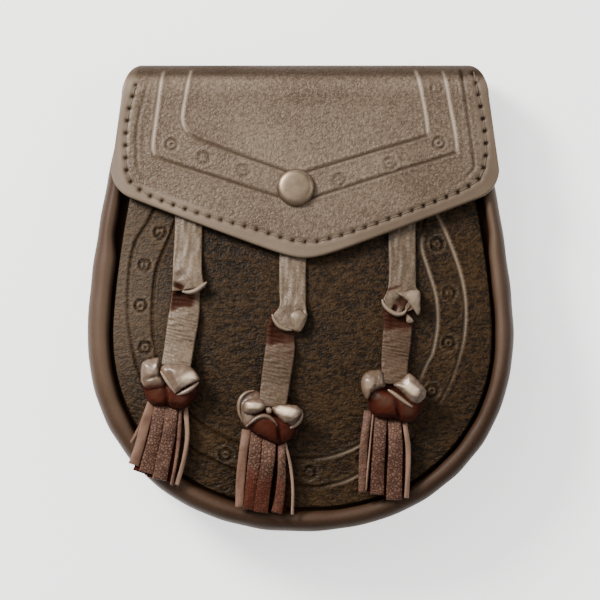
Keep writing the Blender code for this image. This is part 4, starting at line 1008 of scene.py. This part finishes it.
# Tassel heads: each is tied from glossy strips of leather. Broad petals with painted highlights lie
# over the upper half, ones in painted shade are tucked under them below, and a plain core in painted
# shade fills the knot.
# Its third colour is the painted highlight on the petals, its deep colour the reddish brown of their painted
# shade.
head_leather = leather(
    "head_leather", (0.090, 0.052, 0.033), (0.162, 0.108, 0.070), (0.73, 0.565, 0.41), 480, 0.00014, 0.33,
    patches=170.0, sheen=0.7, deep=(0.125, 0.028, 0.015),
)
CORE_SIZE, CORE_LEVEL, CORE_SHADE = (0.0220, 0.0175, 0.0052), 0.0028, -0.85
HEADS = {
    # the petals' tones and spots paint highlights on the upper petals and shade on the lower ones
    # middle of the core (x, y mm), petals (places, level, dome, tone, spots) and folds (line, width, level,
    # dome, tone)
    "left": ((-54.0, -36.5), (
        (((-65.9, -35.9), (-64.9, -41.4), (-62.4, -44.5), (-59.0, -45.4), (-55.7, -45.2), (-52.3, -46.8),
          (-48.9, -46.8), (-45.6, -44.7), (-43.1, -41.4), (-42.4, -38.0), (-46.4, -36.3), (-54.8, -34.7),
          (-61.1, -33.8)), 38.6, 4.2, -0.78,
         ((-55.6, -42.5, 0.7, 4.0, 8.0, 1.3, -0.20), (-62.0, -40.6, 2.6, 1.6, 0.0, 0.0, 0.10),
          (-49.0, -42.5, 2.4, 1.6, 0.0, 0.0, 0.14), (-44.6, -41.0, 1.2, 4.0, -30.0, 0.4, -0.20),
          (-57.0, -44.6, 6.0, 0.8, 0.0, 0.3, -0.20))),
        (((-66.4, -27.9), (-64.9, -26.0), (-62.0, -25.2), (-58.9, -24.8), (-58.4, -27.9), (-57.8, -32.1),
          (-55.7, -36.3), (-56.9, -38.4), (-60.3, -38.9), (-64.5, -38.2), (-66.6, -34.7)), 40.4, 4.0, -0.08,
         ((-61.0, -39.0, 7.0, 2.8, 6.0, 0.0, -0.55), (-62.6, -29.8, 2.4, 2.2, 0.0, 0.0, 0.16),
          (-61.4, -33.2, 3.8, 0.6, 12.0, 0.7, -0.25), (-59.5, -27.8, 0.6, 2.6, -4.0, -0.3, 0.16))),
        (((-58.4, -30.5), (-57.8, -28.4), (-55.7, -27.3), (-51.5, -27.3), (-47.3, -27.7), (-44.3, -29.6),
          (-41.6, -33.6), (-43.1, -34.9), (-46.4, -36.6), (-49.4, -38.1), (-51.9, -39.9), (-54.0, -38.0),
          (-56.5, -34.2)), 42.2, 4.2, 0.08,
         ((-46.4, -33.4, 2.5, 1.7, 28.0, 0.0, 0.90), (-52.8, -33.8, 3.6, 0.9, -58.0, 0.9, -0.20),
          (-50.6, -28.4, 6.4, 1.0, -2.0, 0.5, -0.16), (-50.0, -35.8, 1.0, 2.2, 30.0, 0.0, 0.22))),
    ), (
        (((-58.2, -30.4), (-56.4, -33.0), (-54.1, -36.4), (-51.8, -39.8)), 2.0, 43.0, 2.0, 0.14),
        (((-51.8, -40.6), (-48.1, -39.2), (-45.0, -37.4), (-42.2, -35.0)), 2.2, 41.8, 2.2, 0.14),
    )),
    "middle": ((-12.6, -49.8), (
        (((-23.7, -48.9), (-22.1, -54.0), (-18.7, -57.3), (-14.5, -59.4), (-10.3, -61.3), (-6.9, -61.1),
          (-3.6, -59.0), (-1.5, -55.7), (-0.6, -52.3), (-4.4, -49.8), (-10.7, -47.3), (-16.2, -46.4),
          (-21.2, -46.4)), 38.6, 4.6, -0.82,
         ((-8.9, -56.9, 0.7, 4.4, 6.0, 1.4, -0.20), (-15.6, -54.8, 3.2, 2.0, -22.0, 0.0, 0.06),
          (-5.0, -56.6, 2.0, 2.2, 0.0, 0.0, 0.14), (-18.6, -57.2, 5.0, 0.9, -30.0, 0.3, -0.20))),
        (((-19.7, -38.2), (-22.9, -38.9), (-25.4, -41.4), (-26.3, -45.2), (-25.8, -48.9), (-24.2, -52.7),
          (-22.1, -51.9), (-20.6, -48.5), (-17.0, -46.4), (-15.8, -42.2), (-17.2, -39.3)), 39.4, 2.4, -0.22,
         ((-21.4, -41.0, 3.0, 1.0, 30.0, 0.6, -0.20),)),
        (((-11.8, -46.6), (-6.0, -46.0), (-0.4, -46.2), (1.0, -48.7), (-0.4, -52.3), (-4.2, -54.4),
          (-7.6, -53.1), (-10.1, -50.2)), 40.4, 2.0, -0.30, ()),
        (((-24.3, -47.5), (-21.2, -47.5), (-17.9, -48.3), (-15.4, -49.6), (-18.5, -51.2), (-21.2, -53.0),
          (-22.7, -54.0), (-24.1, -51.7)), 40.2, 1.8, -0.20, ((-22.0, -50.0, 1.2, 1.2, 0.0, 0.0, 0.14),)),
        (((-24.1, -43.9), (-22.1, -42.4), (-18.9, -41.8), (-16.0, -42.2), (-14.1, -43.9), (-14.3, -46.2),
          (-17.0, -47.9), (-20.4, -48.7), (-23.5, -48.1), (-24.2, -46.0)), 41.2, 3.8, -0.14,
         ((-19.3, -44.8, 3.0, 1.1, -4.0, 0.0, 0.80),)),
        (((-12.0, -45.6), (-8.4, -44.6), (-3.4, -44.4), (-0.7, -45.2), (0.8, -47.5), (-1.1, -50.2),
          (-4.0, -51.9), (-6.5, -52.1), (-9.2, -50.0), (-11.2, -47.9)), 42.2, 4.2, 0.02,
         ((-5.6, -47.2, 3.6, 1.4, -14.0, 0.0, 1.00), (-9.6, -49.6, 3.0, 0.6, -38.0, 0.5, -0.15))),
        (((-14.2, -45.8), (-12.8, -45.4), (-11.6, -46.6), (-12.0, -48.0), (-13.6, -48.2), (-14.4, -47.0)),
         42.6, 1.9, 0.10, ()),
    ), (
        (((-19.2, -38.7), (-22.4, -39.6), (-24.7, -41.8), (-25.6, -45.0), (-25.3, -48.4), (-23.9, -51.8)),
         2.0, 40.2, 1.6, 0.02),
        (((0.4, -46.4), (0.5, -49.4), (-1.0, -52.1), (-3.4, -53.8), (-6.0, -54.6)), 1.9, 40.8, 1.7, 0.05),
        (((-22.8, -53.8), (-20.2, -51.6), (-17.9, -50.0), (-15.4, -49.2), (-12.9, -49.8), (-10.9, -51.6),
          (-9.6, -53.6)), 2.1, 41.8, 1.8, -0.16),
    )),
    "right": ((39.2, -41.0), (
        (((26.5, -38.0), (27.7, -42.6), (28.8, -47.3), (31.3, -50.0), (35.5, -50.8), (39.3, -50.8),
          (42.2, -52.1), (45.6, -52.3), (48.5, -50.6), (50.6, -47.3), (51.7, -43.1), (48.1, -41.4),
          (41.8, -38.9), (35.5, -36.8), (30.0, -35.9)), 38.6, 4.4, -0.80,
         ((40.6, -47.4, 0.7, 4.2, 12.0, 1.4, -0.20), (30.6, -41.2, 2.2, 1.2, 15.0, 0.0, 0.30),
          (35.4, -42.6, 2.6, 2.0, 0.0, 0.0, 0.16), (46.0, -47.0, 2.6, 2.0, 0.0, 0.0, 0.16),
          (35.0, -49.6, 6.0, 1.0, -4.0, 0.3, -0.20), (50.4, -46.0, 1.0, 3.6, -20.0, 0.3, -0.20))),
        (((25.0, -35.9), (25.6, -33.0), (27.3, -30.9), (30.5, -30.0), (33.6, -30.2), (34.9, -33.0),
          (35.7, -36.8), (32.6, -38.2), (29.6, -39.7), (27.7, -42.6), (26.0, -40.5)), 40.6, 4.2, -0.10,
         ((30.3, -31.8, 3.2, 1.3, 5.0, 0.6, -0.22), (28.4, -36.0, 2.2, 1.8, 0.0, 0.0, 0.26),
          (33.6, -33.8, 0.7, 2.6, 12.0, -0.4, 0.24), (31.4, -35.4, 0.6, 2.4, -10.0, 0.5, -0.15))),
        (((38.4, -36.2), (40.9, -34.5), (43.0, -32.8), (45.2, -31.2), (48.0, -33.2), (51.3, -36.8),
          (52.6, -39.3), (51.5, -42.6), (48.4, -44.2), (45.9, -43.4), (43.0, -40.5), (40.5, -38.2)),
         41.8, 4.4, -0.12,
         ((46.2, -37.9, 3.4, 1.6, -38.0, 0.0, 0.85), (45.2, -33.4, 1.8, 1.2, 0.0, 0.0, 0.26),
          (49.6, -40.4, 3.6, 0.7, 55.0, 0.7, -0.20), (42.0, -36.0, 2.4, 0.8, 35.0, 0.4, -0.16))),
    ), (
        (((36.2, -38.2), (38.6, -39.7), (41.4, -41.8), (44.2, -43.9), (46.8, -45.6)), 2.1, 41.8, 2.2, 0.14),
    )),
}
for name, ((middle_x, middle_y), petals, folds) in HEADS.items():
    bpy.ops.mesh.primitive_uv_sphere_add(segments=32, ring_count=20, radius=0.5)
    core = bpy.context.object
    core.data.transform(Matrix.Diagonal((*CORE_SIZE, 1.0)))
    base = float(ride_z(middle_x / 1000, middle_y / 1000)) + GAP
    core.data.transform(Matrix.Translation((middle_x / 1000, middle_y / 1000, base + CORE_LEVEL)))
    layer = core.data.attributes.new("tone", "FLOAT", "POINT")
    layer.data.foreach_set("value", np.full(len(core.data.vertices), CORE_SHADE))
    bpy.ops.object.shade_smooth()
    parts = [core] + [lobe(*petal) for petal in petals] + [welt(*fold) for fold in folds]
    merge("tassel_head_%s_fine" % name, parts, head_leather, "tassel_head_" + name)


# Tassel skirts: strips cut into one piece of leather, which is rolled up and held in the head. The
# front strips fan out a little, and ones behind, painted dark as shade, fill the gaps.
# Its deep colour is the reddish brown that the painted shade on the back strips ends at, and that the grained
# strips darken towards at their tips.
fringe_leather = leather(
    "fringe_leather", (0.054, 0.020, 0.011), (0.190, 0.102, 0.066), (0.30, 0.21, 0.15), 760, 0.00028, 0.60,
    patches=160.0, sheen=0.3, deep=(0.140, 0.032, 0.018),
)
SKIRTS = {
    # the tone paints light and shade: the back strips in painted shade, the thin smooth ones with a painted
    # highlight
    # strips: middle line (x, y mm downwards), width at the neck and the tip, level (mm), tone, plain
    "left": (
        (((-60.5, -44.6), (-61.5, -56.0), (-64.5, -66.0), (-67.0, -73.0)), 5.0, 6.0, 2.0, -0.70, 0.2),
        (((-56.0, -44.6), (-57.0, -56.0), (-59.0, -66.0), (-61.0, -75.5)), 5.0, 6.0, 2.0, -0.70, 0.2),
        (((-51.5, -45.6), (-51.8, -56.0), (-53.5, -66.0), (-55.0, -77.0)), 4.5, 5.0, 2.0, -0.70, 0.2),
        (((-64.2, -46.5), (-66.4, -52.5), (-68.6, -57.0), (-70.6, -60.6)), 1.8, 1.8, 3.0, -0.05, 0.8),
        (((-62.6, -45.6), (-65.4, -55.5), (-67.2, -62.5), (-69.6, -69.8)), 3.8, 4.4, 4.4, 0.05, 1.0),
        (((-58.4, -45.2), (-60.4, -56.5), (-62.2, -64.0), (-64.4, -73.0)), 4.9, 5.6, 5.4, -0.10, 0.0),
        (((-53.6, -45.6), (-54.8, -56.5), (-56.8, -66.0), (-58.8, -76.0)), 5.2, 5.8, 5.8, -0.06, 0.0),
        (((-50.2, -47.4), (-50.6, -57.0), (-51.8, -67.4), (-53.8, -78.2)), 2.0, 1.6, 4.8, -0.02, 0.6),
        (((-47.8, -48.0), (-47.2, -57.2), (-48.6, -67.5), (-51.6, -78.2)), 2.2, 2.0, 4.0, 0.30, 1.0),
    ),
    "middle": (
        (((-20.0, -57.0), (-21.0, -68.0), (-22.0, -80.0), (-22.5, -87.0)), 5.0, 5.6, 2.0, -0.80, 0.2),
        (((-14.5, -58.0), (-15.0, -70.0), (-16.0, -80.0), (-16.5, -89.0)), 5.0, 5.6, 2.0, -0.70, 0.2),
        (((-9.0, -59.0), (-8.5, -70.0), (-8.5, -80.0), (-9.0, -89.0)), 4.5, 5.4, 2.0, -0.70, 0.2),
        (((-22.8, -57.5), (-23.8, -64.5), (-25.0, -76.0), (-25.4, -87.4)), 4.0, 3.6, 4.6, 0.02, 0.8),
        (((-18.4, -58.6), (-19.3, -68.0), (-20.4, -78.5), (-21.2, -88.6)), 5.0, 5.0, 5.4, -0.16, 0.0),
        (((-13.0, -60.0), (-13.6, -68.0), (-15.2, -78.5), (-16.6, -89.6)), 5.6, 5.6, 5.8, -0.14, 0.0),
        (((-8.0, -61.0), (-7.8, -72.0), (-8.6, -83.0), (-10.0, -89.8)), 3.0, 4.4, 5.2, -0.05, 0.2),
        (((-6.2, -61.6), (-4.2, -70.0), (-3.2, -80.5), (-3.4, -90.6)), 1.6, 1.5, 4.0, 0.45, 1.0),
    ),
    "right": (
        (((31.5, -50.0), (30.5, -62.0), (30.0, -72.0), (29.5, -81.0)), 5.0, 5.6, 2.0, -0.70, 0.2),
        (((37.0, -51.0), (36.5, -62.0), (36.0, -72.0), (35.5, -83.0)), 5.0, 5.6, 2.0, -0.70, 0.2),
        (((42.0, -52.0), (42.5, -62.0), (42.0, -72.0), (41.5, -82.0)), 5.0, 5.6, 2.0, -0.70, 0.2),
        (((28.0, -49.6), (26.6, -60.0), (26.0, -72.0), (25.8, -81.4)), 3.6, 3.4, 4.4, -0.06, 0.4),
        (((30.2, -50.2), (29.0, -61.0), (28.0, -72.0), (27.4, -80.4)), 1.0, 1.0, 5.4, 0.32, 1.0),
        (((33.4, -51.4), (32.8, -62.0), (32.2, -72.0), (32.0, -82.2)), 5.0, 5.4, 5.6, -0.14, 0.0),
        (((39.2, -52.8), (39.6, -62.0), (39.3, -72.0), (39.0, -84.4)), 5.4, 6.2, 5.8, -0.10, 0.0),
        (((43.6, -53.6), (44.8, -62.0), (44.8, -72.0), (44.2, -83.6)), 2.4, 2.2, 4.8, 0.22, 0.9),
    ),
}
SKIRT_REDS = (0.12, 0.48, 0.22)
STRIP_WALL, TUCK_MM, NECK_SHARE, TIP_SHARE = 0.0011, 2.6, 0.54, 0.56
for (name, strips), red in zip(SKIRTS.items(), SKIRT_REDS):
    parts = []
    for number, (line, neck, tip, level, shade, smooth) in enumerate(strips):
        line = np.array(line)
        line[0] += (line[0] - line[1]) * TUCK_MM / np.linalg.norm(line[0] - line[1])
        left, right = band(line, (neck * NECK_SHARE, tip * TIP_SHARE))

        def strip_height(u, v, x, y):
            curl = 0.0005 * (1 - u**2) + 0.00018 * np.sin(8 * v + 2 * number + 2 * u)
            lift = level * np.interp(v, (0.0, 0.10, 0.22, 1.0), (0.55, 0.80, 1.0, 0.70))
            return ride_z(x, y) + lift / 1000 + curl

        points, u, v = strip_points(left, right, 34, 7 if tip < 2.7 else 11, strip_height)
        speckle = 0.0 if smooth > 0.5 else 0.00014 * np.sin(31 * v * 3 + 5 * u) * np.sin(7 * u + 40 * v)
        # The strip's tone: its painted light and shade from the table, painted shade under the head at its
        # neck, and on the grained strips darker and redder towards the tip.
        painted_light = shade - red * ease((v - 0.2) / 0.5) * (smooth < 0.5) - 0.25 * ease((0.10 - v) / 0.10)
        strip = leather_sheet("strip", points[:, ::-1], STRIP_WALL, relief=speckle, tone=painted_light, plain=smooth)
        parts.append(strip)
    merge("tassel_skirt_%s_fine" % name, parts, fringe_leather, "tassel_skirt_" + name)
